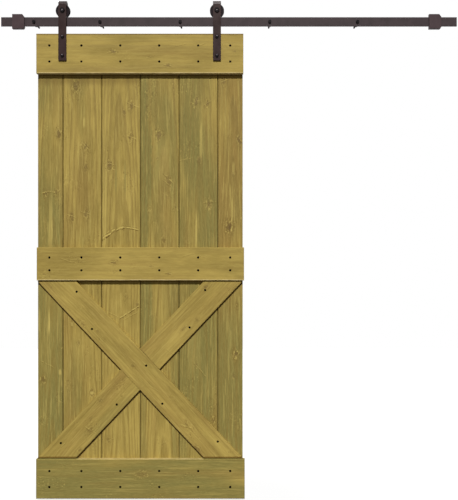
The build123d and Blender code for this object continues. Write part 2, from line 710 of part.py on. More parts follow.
def diagonal(corner_x, way, width):
    """The strip of one diagonal in the braced field: way 1 falls to the right, way -1 to the left."""
    reach = 2 * math.hypot(PLANKS_WIDTH, FIELD_HEIGHT)
    strip = Pos(0, BRACE_WIDTH / 2) * Rectangle(reach, width)
    return Pos(corner_x, FIELD_TOP) * Rot(0, 0, -way * BRACE_ANGLE) * strip


def brace_outlines():
    """The outlines of the three braces: the long one, and the two halves that stop against it."""
    middle = (FIELD_TOP + FIELD_BOTTOM) / 2
    field = Pos(DOOR_CENTRE, middle) * Rectangle(PLANKS_WIDTH, FIELD_HEIGHT)
    long_brace = diagonal(DOOR_LEFT, 1, BRACE_WIDTH) & field
    notch = diagonal(DOOR_LEFT, 1, BRACE_WIDTH + 2 * BRACE_CROSSING_GAP)
    halves = (diagonal(DOOR_RIGHT, -1, BRACE_WIDTH) & field) - notch
    lower_half, upper_half = halves.faces().sort_by(Axis.Y)
    return {"brace_long": long_brace, "brace_upper_half": upper_half, "brace_lower_half": lower_half}


def make_woodwork():
    """The nodes of the door's planks, cross boards and braces."""
    holes = door_holes()
    edges = plank_edges()
    last = len(edges) - 1
    for number, (left, right) in enumerate(zip(edges, edges[1:]), start=1):
        save(f"plank_{number}", drilled(plank(left, right, number > 1, number < last), holes))
    boards = {
        "top": (TOP_BOARD_MIDDLE, TOP_BOARD_HEIGHT, TOP_BOARD_LEFT_OVERHANG, TOP_BOARD_RIGHT_OVERHANG),
        "middle": (
            MIDDLE_BOARD_MIDDLE,
            MIDDLE_BOARD_HEIGHT,
            MIDDLE_BOARD_LEFT_OVERHANG,
            MIDDLE_BOARD_RIGHT_OVERHANG,
        ),
        "bottom": (
            BOTTOM_BOARD_MIDDLE,
            BOTTOM_BOARD_HEIGHT,
            BOTTOM_BOARD_LEFT_OVERHANG,
            BOTTOM_BOARD_RIGHT_OVERHANG,
        ),
    }
    for name, sizes in boards.items():
        save(f"cross_board_{name}", drilled(cross_board(*sizes), holes))
    for name, outline in brace_outlines().items():
        brace = extrude(facing_front(PLANK_FRONT) * outline, BRACE_THICKNESS)
        save(name, drilled(chamfer(front_edges(brace), BRACE_ARRIS), holes))


os.makedirs("parts", exist_ok=True)
make_rail()
make_wheels()
make_hangers()
make_screws()
make_woodwork()
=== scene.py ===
# %% [markdown]
# # A sliding barn door on its rail
# The real object is a pine door that hangs from two bent steel straps. Each strap holds a
# grooved wheel, and the wheels roll along a flat steel bar that is screwed to the wall.
# The solids come from the CAD model and stay as they are. This file gives them their
# finishes, cuts real threads on the screws, and sets up the camera and the light.

import math

import bpy
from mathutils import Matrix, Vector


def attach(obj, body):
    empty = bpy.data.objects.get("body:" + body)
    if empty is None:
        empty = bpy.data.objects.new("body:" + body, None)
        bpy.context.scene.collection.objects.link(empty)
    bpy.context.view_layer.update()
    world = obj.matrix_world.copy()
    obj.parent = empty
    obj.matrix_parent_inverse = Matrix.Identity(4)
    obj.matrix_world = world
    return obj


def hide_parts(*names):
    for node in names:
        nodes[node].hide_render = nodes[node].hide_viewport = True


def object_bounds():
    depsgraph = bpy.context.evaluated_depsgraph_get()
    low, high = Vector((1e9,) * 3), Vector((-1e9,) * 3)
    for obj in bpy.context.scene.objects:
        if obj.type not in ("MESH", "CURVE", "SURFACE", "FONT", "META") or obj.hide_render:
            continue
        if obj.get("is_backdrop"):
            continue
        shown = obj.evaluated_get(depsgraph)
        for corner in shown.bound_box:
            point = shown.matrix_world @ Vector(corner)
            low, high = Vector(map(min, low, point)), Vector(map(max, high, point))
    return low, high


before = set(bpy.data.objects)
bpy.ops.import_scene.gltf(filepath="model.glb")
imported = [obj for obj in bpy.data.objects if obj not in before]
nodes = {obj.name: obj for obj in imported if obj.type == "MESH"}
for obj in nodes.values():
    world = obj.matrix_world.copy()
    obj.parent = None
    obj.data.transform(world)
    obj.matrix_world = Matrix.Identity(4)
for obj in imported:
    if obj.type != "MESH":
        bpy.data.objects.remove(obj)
cad_low, cad_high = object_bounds()
print("solids loaded:", len(nodes))
print("box of the solids in metres:", [round(n, 4) for n in (*cad_low, *cad_high)])

# %% [markdown]
# ## The camera
# The picture was taken from about three metres away, level and square to the wall, with its
# centre at mid height of the door. A level camera keeps the rail level and the door's edges
# upright, so the camera only has to stand in the right place. The lens follows from the
# rail: it is two metres long and fills the width of the picture.

# %% Camera
MM = 0.001
CAMERA_PLACE = (214.2 * MM, -3000 * MM, -1002 * MM)
PICTURE_WIDTH, PICTURE_HEIGHT = 458, 500
FOCAL_PIXELS = 674.2
SENSOR = 24

lens = bpy.data.cameras.new("picture_camera")
lens.sensor_fit = "VERTICAL"
lens.sensor_height = SENSOR
lens.sensor_width = SENSOR * PICTURE_WIDTH / PICTURE_HEIGHT
lens.lens = SENSOR * FOCAL_PIXELS / PICTURE_HEIGHT
camera = bpy.data.objects.new("picture_camera", lens)
camera.location = CAMERA_PLACE
camera.rotation_euler = (math.radians(90), 0, 0)
bpy.context.scene.collection.objects.link(camera)
bpy.context.scene.camera = camera
print("lens:", round(lens.lens, 2), "mm")

# %% [markdown]
# ## Finding and picking
# Every operator in Blender acts on what is selected, so each piece starts with everything
# deselected. Points and faces are picked by where they lie. The CAD model keeps all screws
# of one kind in one node, so the solids in a node are told apart by which faces touch.

# %% Finding and picking
def start_fresh():
    """Leave edit mode and deselect everything."""
    if bpy.context.object and bpy.context.object.mode != "OBJECT":
        bpy.ops.object.mode_set(mode="OBJECT")
    bpy.ops.object.select_all(action="DESELECT")


def pick(piece, test, kind="VERT"):
    """Select the points, or the faces, whose place passes a test, and stay in edit mode."""
    bpy.context.view_layer.objects.active = piece
    bpy.ops.object.mode_set(mode="EDIT")
    bpy.ops.mesh.select_mode(type=kind)
    bpy.ops.mesh.select_all(action="DESELECT")
    bpy.ops.object.mode_set(mode="OBJECT")
    for part in piece.data.vertices if kind == "VERT" else piece.data.polygons:
        part.select = test(part.co if kind == "VERT" else part.center)
    bpy.ops.object.mode_set(mode="EDIT")


def solid_boxes(node):
    """The lowest and highest corner of every separate solid in a CAD node."""
    mesh = node.data
    spots = [tuple(round(c, 6) for c in point.co) for point in mesh.vertices]
    home = {spot: spot for spot in spots}

    def root(spot):
        while home[spot] != spot:
            home[spot] = home[home[spot]]
            spot = home[spot]
        return spot

    for face in mesh.polygons:
        for index in face.vertices:
            home[root(spots[index])] = root(spots[face.vertices[0]])
    boxes = {}
    for point, spot in zip(mesh.vertices, spots):
        low, high = boxes.setdefault(root(spot), (point.co.copy(), point.co.copy()))
        for axis in range(3):
            low[axis] = min(low[axis], point.co[axis])
            high[axis] = max(high[axis], point.co[axis])
    return list(boxes.values())


print("lag screws in their node:", len(solid_boxes(nodes["lag_screws"])))

# %% [markdown]
# ## Turning, joining and cutting
# A round piece grows from a disc: each step pushes the end face along the axis and gives it a
# new radius, which is how one would turn it on a lathe. A piece's place and turn are written
# into its points as soon as it is added, because a finished piece sits at the origin.

# %% Turning, joining and cutting
FACING_AXIS = (math.pi / 2, 0, 0)
SAME_POINT = 1e-7


def settle(name):
    """The piece just added, named, with its place and turn written into its points."""
    bpy.ops.object.transform_apply()
    piece = bpy.context.object
    piece.name = piece.data.name = name
    return piece


def edit_all():
    """Go into edit mode with everything selected."""
    bpy.ops.object.mode_set(mode="EDIT")
    bpy.ops.mesh.select_all(action="SELECT")


def push(distance):
    """Extrude what is selected along the Y axis."""
    bpy.ops.mesh.extrude_region_move(TRANSFORM_OT_translate={"value": (0, distance, 0)})


def squeeze(share, place):
    """Draw what is selected towards the Y axis, at a place along it."""
    bpy.ops.transform.resize(value=(share, 1, share), center_override=(0, place, 0))


def face_outwards():
    """Turn every face outwards and leave edit mode."""
    bpy.ops.mesh.select_all(action="SELECT")
    bpy.ops.mesh.normals_make_consistent(inside=False)
    bpy.ops.object.mode_set(mode="OBJECT")


def turn_on_lathe(name, steps, sides=24):
    """A closed round piece along +Y through (place, radius) steps; a last radius of 0 is a point."""
    start_fresh()
    place, radius = steps[0]
    bpy.ops.mesh.primitive_circle_add(
        vertices=sides, radius=radius, fill_type="NGON", location=(0, place, 0), rotation=FACING_AXIS
    )
    piece = settle(name)
    edit_all()
    for next_place, next_radius in steps[1:]:
        push(next_place - place)
        squeeze(next_radius / radius, next_place)
        place, radius = next_place, next_radius
    bpy.ops.mesh.select_all(action="SELECT")
    bpy.ops.mesh.remove_doubles(threshold=SAME_POINT)
    face_outwards()
    return piece


def join(name, *pieces):
    """Several pieces made one."""
    start_fresh()
    for piece in pieces:
        piece.select_set(True)
    bpy.context.view_layer.objects.active = pieces[0]
    bpy.ops.object.join()
    return settle(name)


def cut(piece, tool, operation):
    """Apply a boolean with a tool piece, which is used up."""
    start_fresh()
    bpy.context.view_layer.objects.active = piece
    piece.select_set(True)
    step = piece.modifiers.new("cut", "BOOLEAN")
    step.operation = operation
    step.solver = "EXACT"
    step.object = tool
    bpy.ops.object.modifier_apply(modifier=step.name)
    bpy.data.objects.remove(tool, do_unlink=True)


print("points that merge lie within, in mm:", round(SAME_POINT / MM, 6))

# %% [markdown]
# ## Copies in the CAD model's places
# A screw is modelled once, with the front of its head at y = 0. Each copy gets its own mesh
# and is moved to where a solid of the CAD node is. The copies are joined, ride with the same
# body as that node and take its place.

# %% Copies
SMOOTH_UP_TO = math.radians(35)


def fit_copies(model, node_name, name, body):
    """Copies of one screw where a CAD node has its screws. The model is used up."""
    copies = []
    for low, high in solid_boxes(nodes[node_name]):
        start_fresh()
        piece = model.copy()
        piece.data = model.data.copy()
        bpy.context.scene.collection.objects.link(piece)
        piece.location = ((low.x + high.x) / 2, low.y, (low.z + high.z) / 2)
        piece.select_set(True)
        bpy.context.view_layer.objects.active = piece
        copies.append(settle(name))
    piece = join(name, *copies)
    bpy.ops.object.shade_smooth_by_angle(angle=SMOOTH_UP_TO)
    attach(piece, body)
    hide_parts(node_name)
    bpy.data.objects.remove(model, do_unlink=True)
    print(name, "copies:", len(copies), "faces:", len(piece.data.polygons))
    return piece


print("smooth up to, in degrees:", round(math.degrees(SMOOTH_UP_TO)))

# %% [markdown]
# ## Screw threads
# A thread is a ridge that climbs round a core. Its section is a small diamond, and the Screw
# modifier carries the diamond round the axis and along it at the same time. Half of the
# diamond is sunk in the core, so the two hold together. Towards the point of the screw the
# rings are drawn in, band by band, until they meet at the tip.

# %% Threads
TIP_BANDS, TIP_LEAST = 16, 0.12


def thread_ridge(name, start, end, crest, root, pitch, width, steps=14):
    """A helical ridge round the Y axis between two places, its ends closed."""
    start_fresh()
    deep = crest - root
    bpy.ops.mesh.primitive_circle_add(
        vertices=4, radius=deep, fill_type="NOTHING", location=(root, start, 0)
    )
    ridge = settle(name)
    edit_all()
    bpy.ops.transform.resize(value=(1, width / 2 / deep, 1), center_override=(root, start, 0))
    bpy.ops.object.mode_set(mode="OBJECT")
    climb = ridge.modifiers.new("climb", "SCREW")
    climb.axis = "Y"
    climb.angle = 2 * math.pi
    climb.screw_offset = pitch
    climb.iterations = int((end - start) / pitch)
    climb.steps = climb.render_steps = steps
    climb.use_merge_vertices = False
    bpy.ops.object.modifier_apply(modifier=climb.name)
    edit_all()
    bpy.ops.mesh.fill_holes(sides=6)
    face_outwards()
    return ridge


def draw_in(piece, start, end):
    """Pull the rings of a piece towards the Y axis, more and more from one place to the next."""
    step = (end - start) / TIP_BANDS
    for band in range(TIP_BANDS + 2):
        low = start + band * step
        pick(piece, lambda co: low <= co.y < low + step)
        squeeze(max(TIP_LEAST, 1 - (band + 0.5) / TIP_BANDS), low)
    bpy.ops.object.mode_set(mode="OBJECT")


print("bands in a drawn tip:", TIP_BANDS)

# %% [markdown]
# ## Lag screws
# Five hexagon lag screws hold the rail to the wall. They run through the rail and its
# spacers and bite into the wall with a coarse thread. The head is a hexagon whose corners
# are turned off at the front. That is made as in a real forge and lathe: a hexagon block and
# a round blank with a sloping rim, of which only the part that both share is kept.

# %% Sizes of a lag screw
LAG_FLATS, LAG_HEAD = 13 * MM, 5.5 * MM
LAG_CORNER = LAG_FLATS / 2 / math.cos(math.radians(30))
LAG_SHANK = 4 * MM
LAG_CREST, LAG_ROOT = 3.7 * MM, 2.7 * MM
LAG_PITCH, LAG_RIDGE = 3.5 * MM, 1.5 * MM
LAG_TAPER = 8 * MM
RAIL_AND_SPACER = 41 * MM
SHANK_IN_WALL = 2 * MM
CHAMFER_FACE, CHAMFER_RIM, CHAMFER_DEPTH = 0.93, 1.01, 0.24

lag_low, lag_high = solid_boxes(nodes["lag_screws"])[0]
lag_length = lag_high.y - lag_low.y
taper_start = lag_length - LAG_TAPER
shank_end = LAG_HEAD + RAIL_AND_SPACER + SHANK_IN_WALL
print("lag screw length in mm:", round(lag_length / MM, 1))

# %% Lag screws
start_fresh()
bpy.ops.mesh.primitive_cylinder_add(
    vertices=6, radius=LAG_CORNER, depth=LAG_HEAD, location=(0, LAG_HEAD / 2, 0), rotation=FACING_AXIS
)
lag_head = settle("lag_head")
blank = turn_on_lathe(
    "lag_blank",
    [
        (0, LAG_FLATS / 2 * CHAMFER_FACE),
        (LAG_HEAD * CHAMFER_DEPTH, LAG_CORNER * CHAMFER_RIM),
        (LAG_HEAD + 1 * MM, LAG_CORNER * CHAMFER_RIM),
    ],
    sides=48,
)
cut(lag_head, blank, "INTERSECT")
lag_core = turn_on_lathe(
    "lag_core",
    [
        (LAG_HEAD - 0.5 * MM, LAG_SHANK),
        (shank_end - 0.6 * MM, LAG_SHANK),
        (shank_end, LAG_CREST * 0.98),
        (shank_end + 1.2 * MM, LAG_ROOT),
        (taper_start, LAG_ROOT),
        (lag_length - LAG_TAPER / 2, LAG_ROOT * 0.62),
        (lag_length, 0),
    ],
)
lag_thread = thread_ridge(
    "lag_thread", shank_end + 1 * MM, lag_length - 0.5 * MM, LAG_CREST, LAG_ROOT, LAG_PITCH, LAG_RIDGE
)
draw_in(lag_thread, taper_start, lag_length)
lag_model = join("lag_model", lag_head, lag_core, lag_thread)
lag_screws = fit_copies(lag_model, "lag_screws", "threaded_lag_screws", "rail")

# %% [markdown]
# ## Wood screws
# Black countersunk screws fix the boards and the braces to the planks. In the picture only
# their heads show, as small black dots. Each head has a cross recess, which is cut with a
# tapered cross: a grid of nine squares without its corners, pushed inwards and made smaller.
# Sizes are radii, except for the pitch, the ridge, the recess and the lengths.

# %% Cross recess
RECESS_WIDTH, RECESS_START, RECESS_PUSH = 5.2 * MM, -0.3 * MM, 2.6 * MM
RECESS_TAPER = 0.5


def recess_cutter():
    """A tapered cross that cuts the drive into a screw's head."""
    start_fresh()
    place, facing = (0, RECESS_START, 0), (-math.pi / 2, 0, 0)
    bpy.ops.mesh.primitive_grid_add(
        x_subdivisions=3, y_subdivisions=3, size=RECESS_WIDTH, location=place, rotation=facing
    )
    cross = settle("recess_cutter")
    half_square = RECESS_WIDTH / 6
    pick(cross, lambda centre: abs(centre.x) > half_square and abs(centre.z) > half_square, "FACE")
    bpy.ops.mesh.delete(type="FACE")
    bpy.ops.mesh.select_all(action="SELECT")
    push(RECESS_PUSH)
    squeeze(RECESS_TAPER, RECESS_START + RECESS_PUSH)
    face_outwards()
    return cross


print("depth of a recess in mm:", round((RECESS_START + RECESS_PUSH) / MM, 2))

# %% Wood screws
SCREW_HEAD, SCREW_SHANK, SCREW_ROOT = 5 * MM, 2.25 * MM, 1.7 * MM
SCREW_PITCH, SCREW_RIDGE = 2.2 * MM, 1.1 * MM
SCREW_NECK, SCREW_TAPER = 3 * MM, 5 * MM
PLAIN_SHARE = 0.38


def wood_screw(length):
    """One countersunk screw with a cross recess and a thread."""
    plain_end = length * PLAIN_SHARE
    body = turn_on_lathe(
        "screw_body",
        [
            (0, SCREW_HEAD - 0.25 * MM),
            (0.2 * MM, SCREW_HEAD),
            (SCREW_NECK, SCREW_SHANK),
            (plain_end, SCREW_SHANK),
            (plain_end + 0.8 * MM, SCREW_ROOT),
            (length - SCREW_TAPER, SCREW_ROOT),
            (length, 0),
        ],
        sides=20,
    )
    cut(body, recess_cutter(), "DIFFERENCE")
    start, end = plain_end + 0.6 * MM, length - 0.4 * MM
    thread = thread_ridge(
        "screw_thread", start, end, SCREW_SHANK, SCREW_ROOT, SCREW_PITCH, SCREW_RIDGE, steps=10
    )
    draw_in(thread, length - SCREW_TAPER, length)
    return join("screw_model", body, thread)


wood_screws = []
for node_name in ("top_board_screws", "middle_board_screws", "bottom_board_screws", "brace_screws"):
    low, high = solid_boxes(nodes[node_name])[0]
    model = wood_screw(high.y - low.y)
    wood_screws.append(fit_copies(model, node_name, "threaded_" + node_name, "door"))

# %% [markdown]
# ## Finishes: how the nodes are put together
# Every finish is made of shader nodes that work out a colour from a place on the piece, so
# nothing is painted on and the pattern runs right through the wood. What comes out of a node
# is held here as a wire. Wires are added, taken away, multiplied and divided like numbers,
# and each of those signs adds one Math node.

# %% Wires
class Wire:
    """What a socket puts out, and the tree it is in."""

    def __init__(self, socket):
        self.socket, self.tree = socket, socket.id_data

    def __add__(self, other):
        return sum_up("ADD", self, other)

    def __sub__(self, other):
        return sum_up("SUBTRACT", self, other)

    def __mul__(self, other):
        return sum_up("MULTIPLY", self, other)

    def __truediv__(self, other):
        return sum_up("DIVIDE", self, other)

    def __abs__(self):
        return sum_up("ABSOLUTE", self)


def feed(socket, value):
    """Link a wire to a socket, or set the socket's own value."""
    if isinstance(value, Wire):
        value.tree.links.new(value.socket, socket)
    else:
        socket.default_value = value


def add_node(kind, values, **settings):
    """A node in the same tree as its wires, set and fed: the wires that leave it."""
    tree = next(value.tree for value in values.values() if isinstance(value, Wire))
    node = tree.nodes.new("ShaderNode" + kind)
    for name, setting in settings.items():
        setattr(node, name, setting)
    for label, value in values.items():
        feed(node.inputs[label], value)
    return [Wire(socket) for socket in node.outputs]


def sum_up(operation, *values):
    """A Math node."""
    return add_node("Math", dict(enumerate(values)), operation=operation)[0]


def most(first, second):
    """The larger of two values."""
    return sum_up("MAXIMUM", first, second)


print("signs that add a Math node: + - * /, and abs()")

# %% [markdown]
# ## One helper for each kind of node
# Noise gives clouds, streaks and fibres, with so many cells to a metre along each axis. A
# slope turns a value into a soft mask, and a blend uses the mask to lay one colour over
# another. Colours are written as they look on a screen and turned into amounts of light.

# %% Node helpers
def arrow(operation, *values):
    """A Vector Math node; only a length comes out as a number."""
    vector, value = add_node("VectorMath", dict(enumerate(values)), operation=operation)
    return value if operation == "LENGTH" else vector


def slope(value, low, high, start=0, end=1):
    """A soft step from start to end while the value goes from low to high."""
    inputs = {"Value": value, "From Min": low, "From Max": high, "To Min": start, "To Max": end}
    return add_node("MapRange", inputs, interpolation_type="SMOOTHSTEP")[0]


def blend(share, first, second):
    """A mix of two colours; in a Mix node the share is input 0 and the colours are 6 and 7."""
    return add_node("Mix", {0: share, 6: first, 7: second}, data_type="RGBA")[2]


def noise(place, cells, seed, detail=2, rough=0.5):
    """A noise value with so many cells to a metre along each axis."""
    inputs = {"Vector": arrow("MULTIPLY", place, cells), "W": seed, "Scale": 1}
    inputs.update({"Detail": detail, "Roughness": rough})
    return add_node("TexNoise", inputs, noise_dimensions="4D")[0]


def split(vector):
    """The three parts of a vector."""
    return add_node("SeparateXYZ", {0: vector})


def merge(x, y, z):
    """A vector made of three parts."""
    return add_node("CombineXYZ", {0: x, 1: y, 2: z})[0]


def linear(red, green, blue):
    """A screen colour from 0 to 255, as the light value that a shader wants."""
    parts = [c / 255 for c in (red, green, blue)]
    return (*[p / 12.92 if p <= 0.04045 else ((p + 0.055) / 1.055) ** 2.4 for p in parts], 1)


print("middle grey of the screen as light:", round(linear(128, 128, 128)[0], 3))

# %% [markdown]
# ## Groups and materials
# An effect that several finishes share is built once, as a group with named sockets, and each
# material uses it with its own numbers. The shader itself stays in the material.

# %% Groups and materials
SOCKETS = {"vector": "NodeSocketVector", "value": "NodeSocketFloat", "colour": "NodeSocketColor"}


def new_group(name, takes, gives):
    """A node group with its sockets listed by kind: the group, its wires and its end sockets."""
    group = bpy.data.node_groups.new(name, "ShaderNodeTree")
    for way, lists in (("INPUT", takes), ("OUTPUT", gives)):
        for kind, labels in lists.items():
            for label in labels.split(", "):
                group.interface.new_socket(label, in_out=way, socket_type=SOCKETS[kind])
    starts = group.nodes.new("NodeGroupInput").outputs
    given = {socket.name: Wire(socket) for socket in starts if socket.name}
    return group, given, group.nodes.new("NodeGroupOutput").inputs


def use_group(group, **values):
    """One use of a node group: its wires by name. An underscore stands for a space."""
    inputs = {label.replace("_", " "): value for label, value in values.items()}
    return {wire.socket.name: wire for wire in add_node("Group", inputs, node_tree=group)}


def new_material(name):
    """A new material, its shader and the place on the piece."""
    material = bpy.data.materials.new(name)
    material.use_nodes = True
    places = material.node_tree.nodes.new("ShaderNodeTexCoord")
    return material, material.node_tree.nodes["Principled BSDF"], Wire(places.outputs["Object"])


def feed_surface(shader, colour, roughness, specular, height, strength, distance):
    """Give a shader its colour, its gloss and a fine relief."""
    feed(shader.inputs["Base Color"], colour)
    feed(shader.inputs["Roughness"], roughness)
    feed(shader.inputs["Specular IOR Level"], specular)
    relief = {"Height": height, "Strength": strength, "Distance": distance}
    feed(shader.inputs["Normal"], add_node("Bump", relief)[0])


def dress(piece, material):
    """Give a piece one material."""
    piece.data.materials.clear()
    piece.data.materials.append(material)


print("kinds of socket in a group:", ", ".join(SOCKETS))

# %% [markdown]
# ## Knots
# A knot is where a branch left the tree. The grain parts and flows round it like water round
# a post. The flow round a round post has a simple rule: a line at distance x from the middle
# is moved by x times the post's radius squared over the distance squared. The group takes
# the push and the masks so far and adds one knot, so any number can be chained.

# %% Knot group
KNOT_SQUASH = 0.55
KNOT_RAGGED = 3.2
KNOT_LEAST = 0.4 * MM
CORE_WAVES, HALO_WAVES = 15, 6.5

knot_group, given, made = new_group(
    "knot",
    takes=dict(vector="Place, Push, Centre", value="Wobble, Core, Halo, Ripple, Radius, Strength"),
    gives=dict(vector="Push", value="Core, Halo, Ripple"),
)
radius, strength = given["Radius"], given["Strength"]
x, _, z = split(arrow("SUBTRACT", given["Place"], given["Centre"]))
ragged = given["Wobble"] * radius * KNOT_RAGGED
away = most(arrow("LENGTH", merge(x, 0, z * KNOT_SQUASH)) + ragged, KNOT_LEAST)
near = radius / away
flow = sum_up("MINIMUM", near * near, 1) * x
feed(made["Push"], arrow("SUBTRACT", given["Push"], merge(flow, 0, 0)))
radii = away / radius
ringed = sum_up("MULTIPLY_ADD", sum_up("SINE", radii * CORE_WAVES), 0.18, 0.82)
core = slope(radii, 0.2, 1.15, 1, 0) * ringed
feed(made["Core"], most(given["Core"], core * strength))
halo = slope(radii, 0.8, 2.8, 1, 0)
feed(made["Halo"], most(given["Halo"], halo * strength))
waves = sum_up("SINE", radii * HALO_WAVES) * halo * strength
feed(made["Ripple"], given["Ripple"] + waves)
print("nodes in the knot group:", len(knot_group.nodes))

# %% [markdown]
# ## Pine grain
# A board is a slice of a trunk, and the trunk is a set of thin cones round its middle, the
# pith. So the grain is worked out as rings round a pith line that runs behind the board and
# leans a little, which gives straight lines at the sides, arches in the middle and true end
# grain. Finer streaks and fibres are noise that is stretched along the board.

# %% Grain group
BEND = 36 * MM
RING_WAVER = 0.9

grain_group, given, made = new_group(
    "pine_grain",
    takes=dict(vector="Place, Push, Pith, Lean", value="Ring Width, Seed"),
    gives=dict(value="Latewood, Streak, Fine, Fibre, Tone, Height"),
)
seed = given["Seed"]
flowing = arrow("ADD", given["Place"], given["Push"])
bend = sum_up("MULTIPLY_ADD", noise(flowing, (5, 5, 1.3), seed), BEND, -BEND / 2)
bent = arrow("ADD", flowing, merge(bend, 0, 0))
x, y, z = split(bent)
pith_x, pith_y, _ = split(given["Pith"])
lean_x, lean_y, _ = split(given["Lean"])
from_pith = merge(x - pith_x - z * lean_x, y - pith_y - z * lean_y, 0)
rings = arrow("LENGTH", from_pith) / given["Ring Width"]
rings = rings + noise(bent, (22, 22, 2.2), seed) * RING_WAVER
phase = sum_up("FRACT", rings)
late = slope(phase, 0.25, 0.85) * slope(phase, 0.9, 1, 1, 0)
year = noise(merge(sum_up("FLOOR", rings), 0, z * 0.6), (0.77, 1, 1), seed)
late = late * slope(year, 0.3, 0.65, 0.25, 1)
feed(made["Latewood"], late)

# label, cells to a metre, detail, roughness, then where the mask starts and where it is full
for label, cells, detail, rough, low, high in (
    ("Streak", (150, 150, 6.5), 3.5, 0.62, 0.32, 0.68),
    ("Fine", (380, 380, 45), 3, 0.6, 0.3, 0.7),
    ("Tone", (17, 17, 5), 4, 0.62, 0.33, 0.67),
):
    feed(made[label], slope(noise(bent, cells, seed, detail, rough), low, high))
fibre = noise(bent, (1500, 1500, 40), seed)
feed(made["Fibre"], slope(fibre, 0.5, 0.28))
feed(made["Height"], sum_up("MULTIPLY_ADD", late, 0.5, fibre * 0.5))
print("nodes in the grain group:", len(grain_group.nodes))

# %% [markdown]
# ## Marks that belong to one place
# Some boards have a pale streak, a greener strip along one side or painted shade under a
# ledge. A patch is a soft box: it is 1 inside and fades to 0 over its edge. The seam group
# darkens the depths of the V joints, where dirt packs.

# %% Patch group
patch_group, given, made = new_group(
    "soft_patch",
    takes=dict(vector="Place, Centre", value="Wobble, Half Width, Half Length, Fade"),
    gives=dict(value="Mask"),
)
x, _, z = split(arrow("SUBTRACT", given["Place"], given["Centre"]))
side = abs(x) + given["Wobble"] * given["Half Width"]
beyond_side = (side - given["Half Width"]) / given["Fade"]
to_end = abs(z) / given["Half Length"]
feed(made["Mask"], slope(beyond_side, 0, 1, 1, 0) * slope(to_end, 0.35, 1.2, 1, 0))
print("nodes in the patch group:", len(patch_group.nodes))

# %% Seam group
SEAM_DEPTH = 1.8 * MM

seam_group, given, made = new_group(
    "seam_grime",
    takes=dict(vector="Place", value="Left, Right, Front, Reach"),
    gives=dict(value="Mask"),
)
x, y, _ = split(given["Place"])
from_left = slope(x - given["Left"], 0, given["Reach"], 1, 0)
from_right = slope(given["Right"] - x, 0, given["Reach"], 1, 0)
deep = slope(y - given["Front"], 0, SEAM_DEPTH)
packed = slope(noise(given["Place"], (60, 60, 9), 31, detail=3), 0.3, 0.62, 0.45, 1)
feed(made["Mask"], most(from_left, from_right) * deep * packed)
print("nodes in the seam group:", len(seam_group.nodes))

# %% [markdown]
# ## Marks that follow a line
# A scar is the ridge that a branch leaves where it lies in the board: a pale line with a dark
# line beside it, from one point to another, broken here and there. A dark line is painted
# shade where a board or brace casts a shadow on the planks or leaves a shaded gap; on the top
# board it runs along the upper edge. Both need to know how far along the line a place is, and
# how far beside it.

# %% Scar and dirt-and-shade groups
def by_line(given):
    """How far along a line a place is, as a share, and how far beside it, in metres."""
    rise = arrow("SUBTRACT", given["End"], given["Start"])
    rise_x, _, rise_z = split(rise)
    here_x, _, here_z = split(arrow("SUBTRACT", given["Place"], given["Start"]))
    length = arrow("LENGTH", rise)
    along = (rise_x * here_x + rise_z * here_z) / (length * length)
    return along, (rise_x * here_z - rise_z * here_x) / length


scar_group, given, made = new_group(
    "branch_scar",
    takes=dict(vector="Place, Start, End", value="Wobble, Width, Strength, Pale, Stain"),
    gives=dict(value="Pale, Stain"),
)
along, beside = by_line(given)
beside = beside / given["Width"] + given["Wobble"] * 3
ends = slope(along, -0.12, 0.08) * slope(along, 0.92, 1.12, 1, 0)
broken = slope(noise(given["Place"], (130, 130, 130), 3), 0.36, 0.6)
seen = ends * broken * given["Strength"]
pale = slope(abs(beside - 0.5), 0, 0.9, 0.9, 0)
dark = slope(abs(beside + 0.6), 0, 0.8, 0.8, 0)
feed(made["Pale"], most(given["Pale"], pale * seen))
feed(made["Stain"], most(given["Stain"], dark * seen))

dirt_group, given, made = new_group(
    "dirt_line",
    takes=dict(vector="Place, Start, End", value="Half Width, Strength, Stain"),
    gives=dict(value="Stain"),
)
along, beside = by_line(given)
ends = slope(along, -0.005, 0) * slope(along, 1, 1.005, 1, 0)
line = slope(abs(beside / given["Half Width"]), 0.6, 1.5, 1, 0) * ends
feed(made["Stain"], most(given["Stain"], line * given["Strength"]))
print("groups so far:", sorted(group.name for group in bpy.data.node_groups))

# %% [markdown]
# ## The colour of the pine
# The pine has been treated and has weathered to a yellow olive. One group lays the colours
# over each other, from the ground up: green and brown clouds, darker latewood, streaks and
# fibres, turned grain by the knots, the knots themselves, and then stains with painted shade
# and painted highlights along edges.
# Each piece chooses how green and how brown it is.

# %% Colours of the pine
PINE_LIGHT = linear(170, 147, 74)
PINE_MIDDLE = linear(144, 124, 59)
PINE_GREEN = linear(118, 110, 56)
PINE_BROWN = linear(138, 112, 55)
PINE_LATE = linear(114, 93, 36)
PINE_PALE = linear(192, 171, 94)
# the next colour is the paler colour of painted highlights along board edges
PINE_EDGE_HIGHLIGHT = linear(206, 186, 130)
# the next colour serves real stains and also painted shade under boards and braces
PINE_STAIN_AND_SHADE = linear(90, 66, 15)
KNOT_BROWN = linear(88, 66, 30)
KNOT_EDGE = linear(116, 95, 42)
SEAM_DARK = linear(52, 36, 10)
print("light pine as light:", [round(part, 3) for part in PINE_LIGHT])

